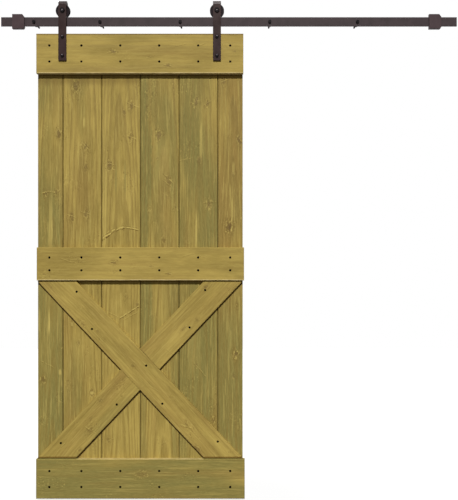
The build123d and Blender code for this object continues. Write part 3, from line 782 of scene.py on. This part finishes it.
# %% Pine colour group
colour_group, given, made = new_group(
    "pine_colour",
    takes=dict(
        vector="Place",
        value="Latewood, Streak, Fine, Fibre, Tone, Core, Halo, Ripple, Green, Brown, Pale, "
        "Shade, Worn, Stain, Seam, Grain, Streaks, Seed",
    ),
    gives=dict(colour="Colour"),
)
place, seed, ripple = given["Place"], given["Seed"], given["Ripple"]
green_cloud = noise(place, (9, 9, 2), seed + 7, detail=3)
brown_cloud = noise(place, (16, 16, 1.6), seed + 13, detail=3)
fleck = noise(place, (190, 190, 110), seed, rough=0.6)
cluster = noise(place, (13, 13, 9), seed + 21)
turned_grain = most(given["Halo"], slope(cluster, 0.53, 0.68, 0, 0.85))
layers = (
    # clouds, green strips and year rings
    (slope(green_cloud + (given["Green"] - 0.5), 0.38, 0.66), PINE_GREEN),
    (slope(brown_cloud + (given["Brown"] - 0.5), 0.4, 0.8), PINE_BROWN),
    (given["Shade"], PINE_GREEN),
    (given["Latewood"] * given["Grain"], PINE_LATE),
    # streaks and fibres
    (slope(given["Streak"], 0.45, 0, 0, 0.32) * given["Streaks"], PINE_LATE),
    (slope(given["Streak"], 0.65, 1, 0, 0.36) * given["Streaks"], PINE_PALE),
    (given["Fine"] * 0.16, PINE_PALE),
    (given["Fibre"] * 0.3, KNOT_EDGE),
    # knots and the turned grain round them
    (given["Halo"] * 0.3, KNOT_EDGE),
    (slope(ripple, 0.1, 0.9) * slope(fleck, 0.45, 0.62) * 0.6, PINE_PALE),
    (slope(ripple, -0.1, -0.9) * slope(fleck, 0.55, 0.38) * 0.6, KNOT_EDGE),
    (turned_grain * slope(fleck, 0.56, 0.7) * 0.55, PINE_PALE),
    (turned_grain * slope(fleck, 0.44, 0.3) * 0.6, KNOT_BROWN),
    (given["Core"] * 0.72, KNOT_BROWN),
    # marks: pale streaks, stains with painted shade, painted highlights on edges, and seams
    (given["Pale"], PINE_PALE),
    (given["Stain"], PINE_STAIN_AND_SHADE),
    (given["Worn"], PINE_EDGE_HIGHLIGHT),
    (given["Seam"] * 0.6, SEAM_DARK),
)
colour = blend(given["Tone"], PINE_MIDDLE, PINE_LIGHT)
for share, layer in layers:
    colour = blend(share, colour, layer)
feed(made["Colour"], colour)
print("layers over the ground colour:", len(layers))

# %% [markdown]
# ## The wood of each piece
# A Mapping node turns the place so that its third axis runs along the grain: up a plank,
# across a board, or along a brace. After that every board can use the same groups. What
# differs from board to board is written down as numbers: where its knots are, how green it
# is, and where it has a streak. Places are in millimetres on the door.

# %% Marks on a board
def turned(turn, x, z):
    """A place in the door's millimetres, in metres on the board with its grain upright."""
    across = x * math.cos(turn) + z * math.sin(turn)
    return across * MM, 0, (z * math.cos(turn) - x * math.sin(turn)) * MM


def add_marks(along, wobble, streak, turn, scars, dirt, patches):
    """The masks of a board's scars, its dark lines of painted shade or dirt, and its patches."""
    masks = {"Pale": 0, "Shade": 0, "Stain": 0}
    for x1, z1, x2, z2, width, strength in scars:
        ends = {"Start": turned(turn, x1, z1), "End": turned(turn, x2, z2), "Strength": strength}
        kept = {"Pale": masks["Pale"], "Stain": masks["Stain"]}
        masks.update(use_group(scar_group, Place=along, Wobble=wobble, Width=width * MM, **ends, **kept))
    # each line is dark: painted shade where boards and braces meet, or a darker board edge
    for x1, z1, x2, z2, half_width, strength in dirt:
        ends = {"Start": turned(turn, x1, z1), "End": turned(turn, x2, z2), "Strength": strength}
        kept = {"Stain": masks["Stain"]}
        masks.update(use_group(dirt_group, Place=along, Half_Width=half_width * MM, **ends, **kept))
    for x, z, half_width, half_length, kind, strength in patches:
        own = dict(Half_Width=half_width * MM, Half_Length=half_length * MM)
        own.update(Centre=turned(turn, x, z), Fade=max(2.5, half_width * 0.6) * MM)
        mask = use_group(patch_group, Place=along, Wobble=wobble, **own)["Mask"]
        streaky = sum_up("MULTIPLY_ADD", streak, 0.5, 0.5)
        masks[kind] = sum_up("MAXIMUM", masks[kind], mask * streaky * strength)
    return masks


def painted_edge_highlight(place, seed, level, start, end, soft=6):
    """The mask of a painted highlight, a paler line along an edge at one height, from one place to another
    across it.
    """
    side, _, height = split(place)
    gap = abs(height - level * MM)
    patchy = noise(place, (30, 30, 200), seed, detail=3)
    edge = slope(gap, 2.5 * MM, 6 * MM, 0.85, 0) * slope(patchy, 0.3, 0.6, 0.4, 1)
    edge = edge * slope(side, (start - soft) * MM, (start + soft) * MM)
    return edge * slope(side, (end - soft) * MM, (end + soft) * MM, 1, 0)


place_across = turned(math.radians(-90), 100, 0)
print("100 mm to the right, on a board that lies across:", [round(part, 3) for part in place_across])

# %% Pine material
PINE_SPECULAR = 0.25
PINE_ROUGH, LATE_GLOSS, KNOT_GLOSS = 0.74, -0.12, -0.15
PINE_RELIEF, PINE_RELIEF_DEPTH = 0.35, 0.6 * MM
STAIN_AND_SHADE_FRONT, STAIN_AND_SHADE_BACK = -22 * MM, -18 * MM
SEAM_REACH = 8 * MM


def pine(
    name, turn, seed, pith, lean, ring, green, brown, knots,
    patches=(), scars=(), dirt=(), seam=None, grain=0.6, streaks=1, wear=None,
):
    """One board's material. The pith is (x, z, depth) and a ring is so many millimetres wide.
    Knots are (x, z, radius, strength), and patches (x, z, half width, half length, kind,
    strength). Scars are (x, z, x, z, width, strength), and the dark lines of painted shade or
    dirt have half their width there. A seam is (left, right, front), and the edge highlight the
    (level, from x, to x) of a painted highlight along an edge."""
    material, shader, place = new_material(name)
    rotation = {"Vector": place, "Rotation": (0, turn, 0)}
    along = add_node("Mapping", rotation, vector_type="POINT")[0]
    wobble = noise(along, (90, 90, 45), seed, detail=3) - 0.5
    knotty = {"Push": (0, 0, 0), "Core": 0, "Halo": 0, "Ripple": 0}
    for x, z, radius, strength in knots:
        own = {"Centre": turned(turn, x, z), "Radius": radius * MM, "Strength": strength}
        knotty = use_group(knot_group, Place=along, Wobble=wobble, **own, **knotty)
    pith = (turned(turn, *pith[:2])[0], pith[2] * MM, 0)
    own = dict(Push=knotty.pop("Push"), Pith=pith, Lean=(*lean, 0), Ring_Width=ring * MM, Seed=seed)
    grown = use_group(grain_group, Place=along, **own)
    height = grown.pop("Height")
    masks = add_marks(along, wobble, grown["Streak"], turn, scars, dirt, patches)
    _, depth, _ = split(place)
    # stains and painted shade stay on the front of the wood
    masks["Stain"] = slope(depth, STAIN_AND_SHADE_FRONT, STAIN_AND_SHADE_BACK, 1, 0) * masks["Stain"]
    # a painted highlight, a paler line along one edge
    if wear:
        masks["Worn"] = painted_edge_highlight(place, seed, *wear)
    if seam:
        left, right, front = (edge * MM for edge in seam)
        seam_place = dict(Place=place, Left=left, Right=right, Front=front, Reach=SEAM_REACH)
        masks["Seam"] = use_group(seam_group, **seam_place)["Mask"]
    own = dict(Green=green, Brown=brown, Grain=grain, Streaks=streaks, Seed=seed)
    colour = use_group(colour_group, Place=along, **own, **grown, **knotty, **masks)["Colour"]
    rough = sum_up("MULTIPLY_ADD", grown["Latewood"], LATE_GLOSS, PINE_ROUGH)
    rough = sum_up("MULTIPLY_ADD", knotty["Core"], KNOT_GLOSS, rough)
    feed_surface(shader, colour, rough, PINE_SPECULAR, height, PINE_RELIEF, PINE_RELIEF_DEPTH)
    return material


print("node groups of the pine:", len(bpy.data.node_groups))

# %% [markdown]
# ## Planks
# Six upright planks with V joints, each from another part of a trunk. Plank 3 has a long
# branch scar, plank 4 a green strip, and the first three have painted shade under the top
# board. All of them have painted shade, as dark lines, along the lower edges of the boards and
# braces.

# %% Planks
FAR = 9000
DOOR_EDGES = (-627.5, -517.5, -347, -176.5, -6, 164.5, 274.5)
PLANK_COUNT = len(DOOR_EDGES) - 1
PLANK_FRONT = -28
# painted shade: dark lines on the planks under the top and middle boards and along the lower edges of the
# braces
PAINTED_SHADE_LINES = (
    (-640, -231, 290, -231, 5, 0.75),
    (-640, -1138, 290, -1138, 5, 0.75),
    (-630, -1141, 103, -1919, 4, 0.85),
    (-89, -1529, 277, -1141, 4, 0.85),
    (-456, -1919, -174, -1620, 4, 0.85),
)


def dress_plank(number, **facts):
    """Dress one plank; an outer plank has a joint on its inner side only."""
    left = DOOR_EDGES[number - 1] if number > 1 else -FAR
    right = DOOR_EDGES[number] if number < PLANK_COUNT else FAR
    seam = (left, right, PLANK_FRONT)
    finish = pine(f"pine_plank_{number}", 0, seam=seam, dirt=PAINTED_SHADE_LINES, **facts)
    dress(nodes[f"plank_{number}"], finish)
    print("plank", number, "knots:", len(facts["knots"]), "patches:", len(facts["patches"]))


print("joints between planks:", PLANK_COUNT - 1)

# %% Plank 1
dress_plank(
    1, seed=1.3, pith=(-560, 0, 70), lean=(0.004, 0.020), ring=6, green=0.55, brown=0.44,
    knots=[(-537, -485, 9, 0.9), (-592, -751, 7, 0.8), (-548, -746, 7, 0.8), (-607, -1573, 8, 0.9)],
    patches=[
        (-572, -890, 6, 130, "Pale", 0.7), (-579, -1315, 3, 60, "Pale", 0.9),
        (-531, -1540, 4, 14, "Pale", 0.7), (-615, -1680, 16, 150, "Shade", 1.3),
        # the patch at z -240 is painted shade under the top board
        (-548, -900, 22, 150, "Shade", 1), (-572, -240, 90, 40, "Stain", 0.5),
        (-572, -1560, 70, 520, "Shade", 0.9),
    ],
    scars=[
        (-612, -754, -578, -744, 4, 0.8), (-578, -744, -545, -750, 4, 0.8),
        (-545, -750, -528, -735, 3, 0.7), (-544, -462, -526, -492, 3, 0.6),
        (-618, -1490, -560, -1520, 3, 0.5),
    ],
)

# %% Plank 2
dress_plank(
    2, seed=4.1, pith=(-430, 0, 95), lean=(-0.003, 0.014), ring=7, green=0.38, brown=0.45,
    knots=[
        (-460, -277, 15, 0.75), (-417, -548, 8, 0.8), (-417, -636, 7, 0.6), (-478, -857, 9, 0.7),
        (-414, -841, 9, 0.7), (-478, -1328, 5, 0.5), (-449, -1408, 6, 0.6), (-390, -1632, 8, 0.6),
    ],
    patches=[
        (-425, -440, 3, 25, "Pale", 0.8), (-478, -1328, 4, 10, "Pale", 0.7),
        # the patch at z -240 is painted shade under the top board
        (-390, -1632, 5, 8, "Pale", 0.8), (-432, -240, 95, 40, "Stain", 0.5),
    ],
    scars=[
        (-434, -528, -404, -560, 3, 0.5), (-500, -846, -462, -858, 3, 0.5),
        (-440, -832, -398, -846, 3, 0.5),
    ],
)

# %% Plank 3
dress_plank(
    3, seed=7.7, pith=(-262, 0, 80), lean=(0.002, 0.024), ring=8, green=0.20, brown=0.36,
    knots=[
        (-218, -361, 9, 0.8), (-249, -392, 6, 0.6), (-220, -506, 9, 0.8), (-312, -631, 10, 0.8),
        (-347, -952, 6, 0.7), (-249, -905, 6, 0.6), (-191, -1245, 6, 0.6), (-319, -1844, 8, 0.5),
    ],
    patches=[
        (-284, -690, 2.5, 85, "Shade", 0.8), (-244, -690, 2.5, 85, "Shade", 0.8),
        # the patch at z -240 is painted shade under the top board
        (-335, -700, 9, 400, "Pale", 0.25), (-262, -240, 95, 40, "Stain", 0.5),
    ],
    scars=[
        (-347, -958, -292, -918, 5, 1.5), (-292, -918, -249, -903, 5, 1.5),
        (-249, -903, -187, -912, 4, 1.3), (-347, -944, -300, -908, 3, 0.7),
        (-235, -895, -190, -902, 3, 0.6), (-313, -1278, -266, -1302, 3, 0.6),
        (-266, -1302, -183, -1252, 4, 1.3), (-250, -1310, -190, -1277, 3, 0.6),
        (-235, -352, -184, -374, 4, 0.7), (-232, -498, -188, -518, 4, 0.6),
        (-338, -620, -286, -628, 3, 0.8), (-334, -640, -290, -650, 3, 0.7),
        (-330, -1850, -290, -1832, 3, 0.4),
    ],
)

# %% Plank 4
dress_plank(
    4, seed=2.9, pith=(-80, 0, 110), lean=(-0.004, 0.016), ring=7, green=0.45, brown=0.48,
    knots=[
        (-97, -493, 11, 1), (-101, -596, 4, 0.8), (-52, -693, 10, 0.8), (-135, -820, 6, 0.7),
        (-72, -958, 7, 0.5),
    ],
    patches=[
        (-166, -380, 17, 260, "Shade", 1.5), (-160, -620, 26, 200, "Shade", 1.6),
        (-166, -880, 18, 260, "Shade", 1.5), (-160, -1250, 28, 200, "Shade", 1.2),
        (-166, -1700, 12, 260, "Shade", 0.5), (-30, -600, 14, 260, "Shade", 0.9),
        (-25, -1750, 12, 350, "Shade", 0.8), (-82, -610, 26, 120, "Pale", 0.3),
    ],
    scars=[(-76, -664, -34, -706, 4, 0.6), (-82, -690, -42, -722, 3, 0.5)],
)

# %% Plank 5
dress_plank(
    5, seed=9.2, pith=(95, 0, 85), lean=(0.005, 0.013), ring=6, green=0.57, brown=0.42, streaks=0.75,
    knots=[
        (68, -348, 11, 0.8), (118, -354, 8, 0.8), (84, -605, 7, 0.6), (126, -799, 10, 0.8),
        (69, -1505, 8, 0.5), (147, -1750, 8, 0.8),
    ],
    patches=[
        (91, -517, 4, 95, "Pale", 0.75), (69, -914, 3, 90, "Pale", 0.7), (60, -1440, 22, 120, "Pale", 0.25),
    ],
    scars=[
        (44, -354, 90, -342, 3, 0.5), (104, -364, 140, -342, 3, 0.5), (-4, -608, 50, -598, 3, 0.6),
        (100, -795, 155, -788, 3, 0.5), (55, -1495, 112, -1560, 3, 0.5), (138, -1732, 152, -1768, 3, 0.8),
    ],
)

# %% Plank 6
dress_plank(
    6, seed=5.6, pith=(230, 0, 60), lean=(-0.002, 0.022), ring=6, green=0.54, brown=0.62,
    knots=[
        (192, -257, 8, 0.7), (260, -517, 9, 0.8), (233, -667, 6, 0.4), (215, -899, 12, 1.35),
        (249, -1249, 6, 0.7), (246, -1462, 9, 1.2), (235, -1557, 5, 0.7),
    ],
    patches=[
        (234, -640, 4, 30, "Pale", 0.6), (228, -830, 2.5, 60, "Pale", 0.6),
        (220, -1640, 80, 520, "Shade", 1.1),
    ],
    scars=[(176, -264, 208, -250, 3, 0.5), (246, -500, 272, -526, 4, 0.6)],
)

# %% [markdown]
# ## Boards and braces
# Three boards lie across the planks, and the braces run between them, so their grain is
# turned. They are of calmer wood than the planks. The top board is darker along its upper
# edge, the braces have painted shade where they meet the bottom board, and each board has a
# painted highlight, a paler line, along one edge.

# %% Boards and braces
ACROSS = math.radians(-90)
BRACE_TURN = math.radians(90 - 46.7)
CALM_WOOD = dict(turn=ACROSS, ring=9, green=0.3, brown=0.42, grain=0.25, streaks=0.55)
BRACE_WOOD = dict(lean=(0.003, 0.012), ring=6, green=0.25, brown=0.5, grain=0.4, streaks=0.8)


def dress_board(name, wood, **facts):
    """Dress a board or a brace; its own facts go before those of its kind of wood."""
    dress(nodes[name], pine("pine_" + name, **(wood | facts)))
    print(name, "knots:", len(facts["knots"]))


print("lean of a brace from upright, in degrees:", round(math.degrees(BRACE_TURN), 1))

# %% Top board
dress_board(
    "cross_board_top", CALM_WOOD, seed=3.3, pith=(0, -160, 130), lean=(0.008, 0.004),
    knots=[(-294, -132, 7, 0.8), (-134, -155, 5, 0.5), (-53, -194, 5, 0.8), (240, -131, 4, 0.5)],
    scars=[
        (-318, -138, -276, -128, 3, 0.6), (-72, -190, -40, -197, 3, 0.7), (-400, -60, -350, -75, 2.5, 0.4),
        (-20, -110, 30, -98, 3, 0.5), (80, -108, 110, -98, 3, 0.5), (-150, -162, -105, -150, 3, 0.4),
    ],
    # a darker line along the board's upper edge
    dirt=((-640, -55, 290, -55, 4, 0.75),),
    # painted highlight, a paler line along the board's lower edge
    wear=(-228, -700, 700),
)

# %% Middle board
dress_board(
    "cross_board_middle", CALM_WOOD, seed=6.4, pith=(0, -1040, 120), lean=(0.009, 0.004),
    knots=[(-288, -1055, 7, 0.8), (-49, -1106, 4, 0.8), (-129, -1075, 5, 0.5)],
    scars=[
        (-310, -1058, -268, -1050, 3, 0.6), (-64, -1103, -36, -1109, 3, 0.6),
        (-520, -1042, -470, -1058, 3, 0.5), (10, -1032, 60, -1018, 3, 0.5), (88, -1028, 120, -1040, 3, 0.4),
    ],
    # painted highlight, a paler line along the board's lower edge
    wear=(-1135, -700, 700),
)

# %% Bottom board
dress_board(
    "cross_board_bottom", CALM_WOOD, seed=8.8, pith=(0, -2030, 130), lean=(-0.007, 0.003),
    green=0.64, brown=0.38, grain=0.3, streaks=0.7,
    knots=[(-169, -1985, 12, 0.6)],
    # painted highlight, a paler line along the lit top edge between the braces
    wear=(-1914.6, -452, 100),
)

# %% Long brace
dress_board(
    "brace_long", BRACE_WOOD, turn=BRACE_TURN, seed=12.1, pith=(-170, -1500, 90),
    knots=[
        (-431, -1322, 7, 0.7), (-361, -1358, 5, 0.6), (-207, -1511, 6, 0.6), (25, -1766, 8, 0.7),
        (76, -1876, 8, 0.8),
    ],
    # painted shade in the gap where the brace meets the bottom board
    dirt=((105, -1911.6, 275, -1911.6, 2, 1),),
    scars=[
        (-262, -1556, -222, -1560, 3, 0.5), (2, -1770, 48, -1782, 5, 0.7), (30, -1752, 40, -1795, 3, 0.5),
        (-140, -1598, -90, -1626, 3, 0.4),
    ],
)

# %% Upper half brace
dress_board(
    "brace_upper_half", BRACE_WOOD, turn=-BRACE_TURN, seed=14.5, pith=(60, -1300, 90),
    knots=[(113, -1164, 7, 0.7), (74, -1309, 5, 0.5), (12, -1349, 7, 0.6)],
    scars=[(-60, -1440, -28, -1462, 3, 0.4), (118, -1172, 150, -1140, 3, 0.4)],
)

# %% Lower half brace
dress_board(
    "brace_lower_half", BRACE_WOOD, turn=-BRACE_TURN, seed=17.2, pith=(-400, -1760, 90), green=0.4,
    knots=[(-396, -1792, 8, 0.7), (-440, -1880, 6, 0.6), (-348, -1661, 7, 0.5)],
    # painted shade in the gap where the brace meets the bottom board
    dirt=((-628, -1911.6, -458, -1911.6, 2, 1),),
    scars=[(-416, -1780, -372, -1806, 4, 0.6), (-540, -1890, -505, -1850, 3, 0.5)],
)

# %% [markdown]
# ## The steel
# The rail, straps and wheels are black powder-coated steel. Powder flows into a skin with a
# very fine orange peel, and its gloss is a little uneven. One group gives the mottle and the
# height of that skin, and each part picks its own two shades and gloss. The heads of the
# strap and axle bolts have a painted highlight, a lighter grey spot.

# %% Powder coat
CLOUD_CELLS, SPECK_CELLS = (26, 26, 26), (900, 900, 900)

coat_group, given, made = new_group(
    "powder_coat",
    takes=dict(vector="Place", colour="Dark, Light", value="Gloss, Seed"),
    gives=dict(colour="Colour", value="Roughness, Height"),
)
cloud = noise(given["Place"], CLOUD_CELLS, given["Seed"], detail=4, rough=0.6)
speck = noise(given["Place"], SPECK_CELLS, given["Seed"])
share = slope(cloud, 0.3, 0.7, 0, 0.8) + speck * 0.2
feed(made["Colour"], blend(share, given["Dark"], given["Light"]))
feed(made["Roughness"], sum_up("MULTIPLY_ADD", slope(cloud, 0.3, 0.7), 0.12, given["Gloss"]))
feed(made["Height"], speck)
print("nodes in the powder coat group:", len(coat_group.nodes))

# %% Steel material
# the grey of the painted highlights on the bolt heads
HIGHLIGHT_GREY = linear(150, 138, 142)
COAT_RELIEF, COAT_RELIEF_DEPTH = 0.1, 0.4 * MM


def head_highlight_spots(node_name, rise, radius):
    """A painted highlight spot on each bolt's head, at a height over its middle, in millimetres."""
    boxes = solid_boxes(nodes[node_name])
    return [((low.x + high.x) / 2 / MM, (low.z + high.z) / 2 / MM + rise, radius) for low, high in boxes]


def steel(name, dark, light, gloss, seed, specular, metal=0, painted_highlight=()):
    """A coated steel finish between two shades; gloss is its lowest roughness. Painted highlight
    spots are (x, z, radius) in millimetres, where the colour is a lighter grey."""
    material, shader, place = new_material(name)
    coat = use_group(
        coat_group, Place=place, Dark=linear(*dark), Light=linear(*light), Gloss=gloss, Seed=seed
    )
    colour = coat["Colour"]
    # painted highlight: a lighter grey spot on each bolt head
    for x, z, radius in painted_highlight:
        near_x, _, near_z = split(arrow("SUBTRACT", place, (x * MM, 0, z * MM)))
        away = arrow("LENGTH", merge(near_x, 0, near_z))
        colour = blend(slope(away, radius * 0.6 * MM, radius * MM, 0.85, 0), colour, HIGHLIGHT_GREY)
    shader.inputs["Metallic"].default_value = metal
    relief = (coat["Height"], COAT_RELIEF, COAT_RELIEF_DEPTH)
    feed_surface(shader, colour, coat["Roughness"], specular, *relief)
    return material


# painted highlights on the strap bolt heads, 3 mm above their middle
spots = head_highlight_spots("strap_bolts", 3, 2.6)
print("rubbed spots on the strap bolts, x and z in mm:", [(round(x), round(z)) for x, z, _ in spots])

# %% Steel parts
BLACKENED = dict(dark=(6, 2, 4), light=(12, 6, 9), gloss=0.3, specular=0.11)
BARE = dict(metal=1, specular=0.5)
rail = steel("coated_rail_steel", (50, 41, 42), (62, 51, 53), 0.42, 1, specular=0.16)
strap = steel("coated_strap_steel", (32, 11, 8), (40, 18, 14), 0.3, 2, specular=0.215)
stop = steel("coated_stop_steel", (60, 46, 48), (70, 56, 58), 0.42, 9, specular=0.16)
wheel = steel("coated_wheel_steel", (18, 8, 12), (26, 14, 18), 0.40, 3, specular=0.1)
fixing = steel("black_fixing_steel", seed=4, **BLACKENED)
# painted highlights at the middle of the axle bolt heads
axle = steel("axle_steel_painted_highlight", seed=10, painted_highlight=head_highlight_spots("axle_bolts", 0, 3), **BLACKENED)
bolt = steel("bolt_steel_painted_highlight", seed=11, painted_highlight=spots, **BLACKENED)
screw = steel("black_screw_steel", (3, 1, 1), (6, 3, 2), 0.5, 5, specular=0.02)
ring = steel("ground_bearing_steel", (150, 150, 152), (176, 176, 178), 0.22, 6, **BARE)
ball = steel("polished_ball_steel", (188, 188, 190), (204, 204, 206), 0.08, 7, **BARE)
cage = steel("pressed_cage_steel", (132, 126, 112), (158, 150, 134), 0.3, 8, **BARE)

STEEL_PARTS = (
    (rail, "rail_bar rail_spacers"),
    (stop, "end_stop_left end_stop_right"),
    (strap, "hanger_strap_left hanger_strap_right"),
    (bolt, "strap_bolts"),
    (axle, "axle_bolts"),
    (fixing, "stop_grub_screws strap_sleeve_nuts axle_nuts axle_sleeves"),
    (wheel, "wheel_left wheel_right"),
    (ring, "bearing_inner_rings bearing_outer_ring_left bearing_outer_ring_right"),
    (ball, "bearing_balls_left bearing_balls_right"),
    (cage, "bearing_cage_left bearing_cage_right"),
)
dressed = [(lag_screws, fixing), *((piece, screw) for piece in wood_screws)]
dressed += [(nodes[name], finish) for finish, names in STEEL_PARTS for name in names.split()]
for piece, finish in dressed:
    dress(piece, finish)
print("steel parts dressed:", len(dressed))

# %% [markdown]
# ## Light and background
# The photograph has a plain white background and light from the front and above, which draws
# a dark line under each board. One strong sun does that. Two weaker ones from behind keep the
# back and the sides readable, and a dim, warm sky fills the rest. The white comes from the
# world as the camera and its mirror images see it, not from more light on the door.

# %% Light
SKY_LIGHT = 0.12
WARM, WHITE = (1, 0.84, 0.58, 1), (1, 1, 1, 1)


def as_seen(tree):
    """1 for what the camera sees, straight, mirrored or through glass, and 0 for what gives light."""
    ray = tree.nodes.new("ShaderNodeLightPath").outputs
    seen = most(Wire(ray["Is Camera Ray"]), Wire(ray["Is Glossy Ray"]))
    return most(seen, Wire(ray["Is Transmission Ray"]))


def add_sun(name, strength, height, side, softness):
    """A sun at a height above the horizon, turned from straight in front; angles in degrees."""
    lamp = bpy.data.lights.new(name, "SUN")
    lamp.energy = strength
    lamp.angle = math.radians(softness)
    stand = bpy.data.objects.new(name, lamp)
    stand.rotation_euler = (math.radians(90 - height), 0, math.radians(side))
    bpy.context.scene.collection.objects.link(stand)


world = bpy.data.worlds.new("studio_world")
bpy.context.scene.world = world
world.use_nodes = True
sky = world.node_tree.nodes["Background"].inputs
seen = as_seen(world.node_tree)
feed(sky["Strength"], sum_up("MULTIPLY_ADD", seen, 1 - SKY_LIGHT, SKY_LIGHT))
feed(sky["Color"], blend(seen, WARM, WHITE))
add_sun("front_sun", 3.93, 45, 0, 3)
add_sun("back_sun_left", 1.3, 30, 215, 6)
add_sun("back_sun_right", 1.3, 30, 145, 6)
print("suns:", len(bpy.data.lights))

# %% [markdown]
# ## Floor
# The door hangs just clear of a plain floor. To the light the floor is a matte grey, so it
# doesn't brighten the undersides. To the camera it glows nearly as white as the background,
# and a little less under the door, so a soft shadow stays there and fades with distance.

# %% Floor
FLOOR_DROP = 0.012
FLOOR_SIZE, FLOOR_MIDDLE = 9, 0.2
FLOOR_GREY, FLOOR_ROUGH = (0.12, 0.12, 0.12, 1), 0.9
FADE_START, FADE_END = 0.25, 0.95
GLOW_LEAST, GLOW_MORE = 0.75, 0.25
FADE_STRETCH = 0.6

floor_level = cad_low.z - FLOOR_DROP
start_fresh()
bpy.ops.mesh.primitive_grid_add(
    x_subdivisions=8, y_subdivisions=8, size=FLOOR_SIZE, location=(FLOOR_MIDDLE, 0, floor_level)
)
floor = settle("studio_floor")
paint, matte, place = new_material("studio_floor_paint")
tree = paint.node_tree
feed(matte.inputs["Base Color"], FLOOR_GREY)
feed(matte.inputs["Roughness"], FLOOR_ROUGH)
x, y, _ = split(place)
distance = arrow("LENGTH", merge(x * FADE_STRETCH, y, 0))
white = tree.nodes.new("ShaderNodeEmission")
glow = sum_up("MULTIPLY_ADD", slope(distance, FADE_START, FADE_END), GLOW_MORE, GLOW_LEAST)
feed(white.inputs["Strength"], glow)
both = tree.nodes.new("ShaderNodeAddShader")
shown = tree.nodes.new("ShaderNodeMixShader")
feed(shown.inputs[0], as_seen(tree))
for start, end in (
    (matte, both.inputs[0]),
    (white, both.inputs[1]),
    (matte, shown.inputs[1]),
    (both, shown.inputs[2]),
    (shown, tree.nodes["Material Output"].inputs["Surface"]),
):
    tree.links.new(start.outputs[0], end)
dress(floor, paint)
floor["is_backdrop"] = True
print("floor level:", round(floor_level, 4))

# %% [markdown]
# ## Size of the dressed door
# The box of the dressed door is printed, to set beside the box of the bare solids printed at
# the start: Blender must not change the size of the part.

# %% Finish
bpy.context.scene.view_settings.view_transform = "Standard"
low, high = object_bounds()
print("box with the new pieces:", [round(n, 4) for n in (*low, *high)])
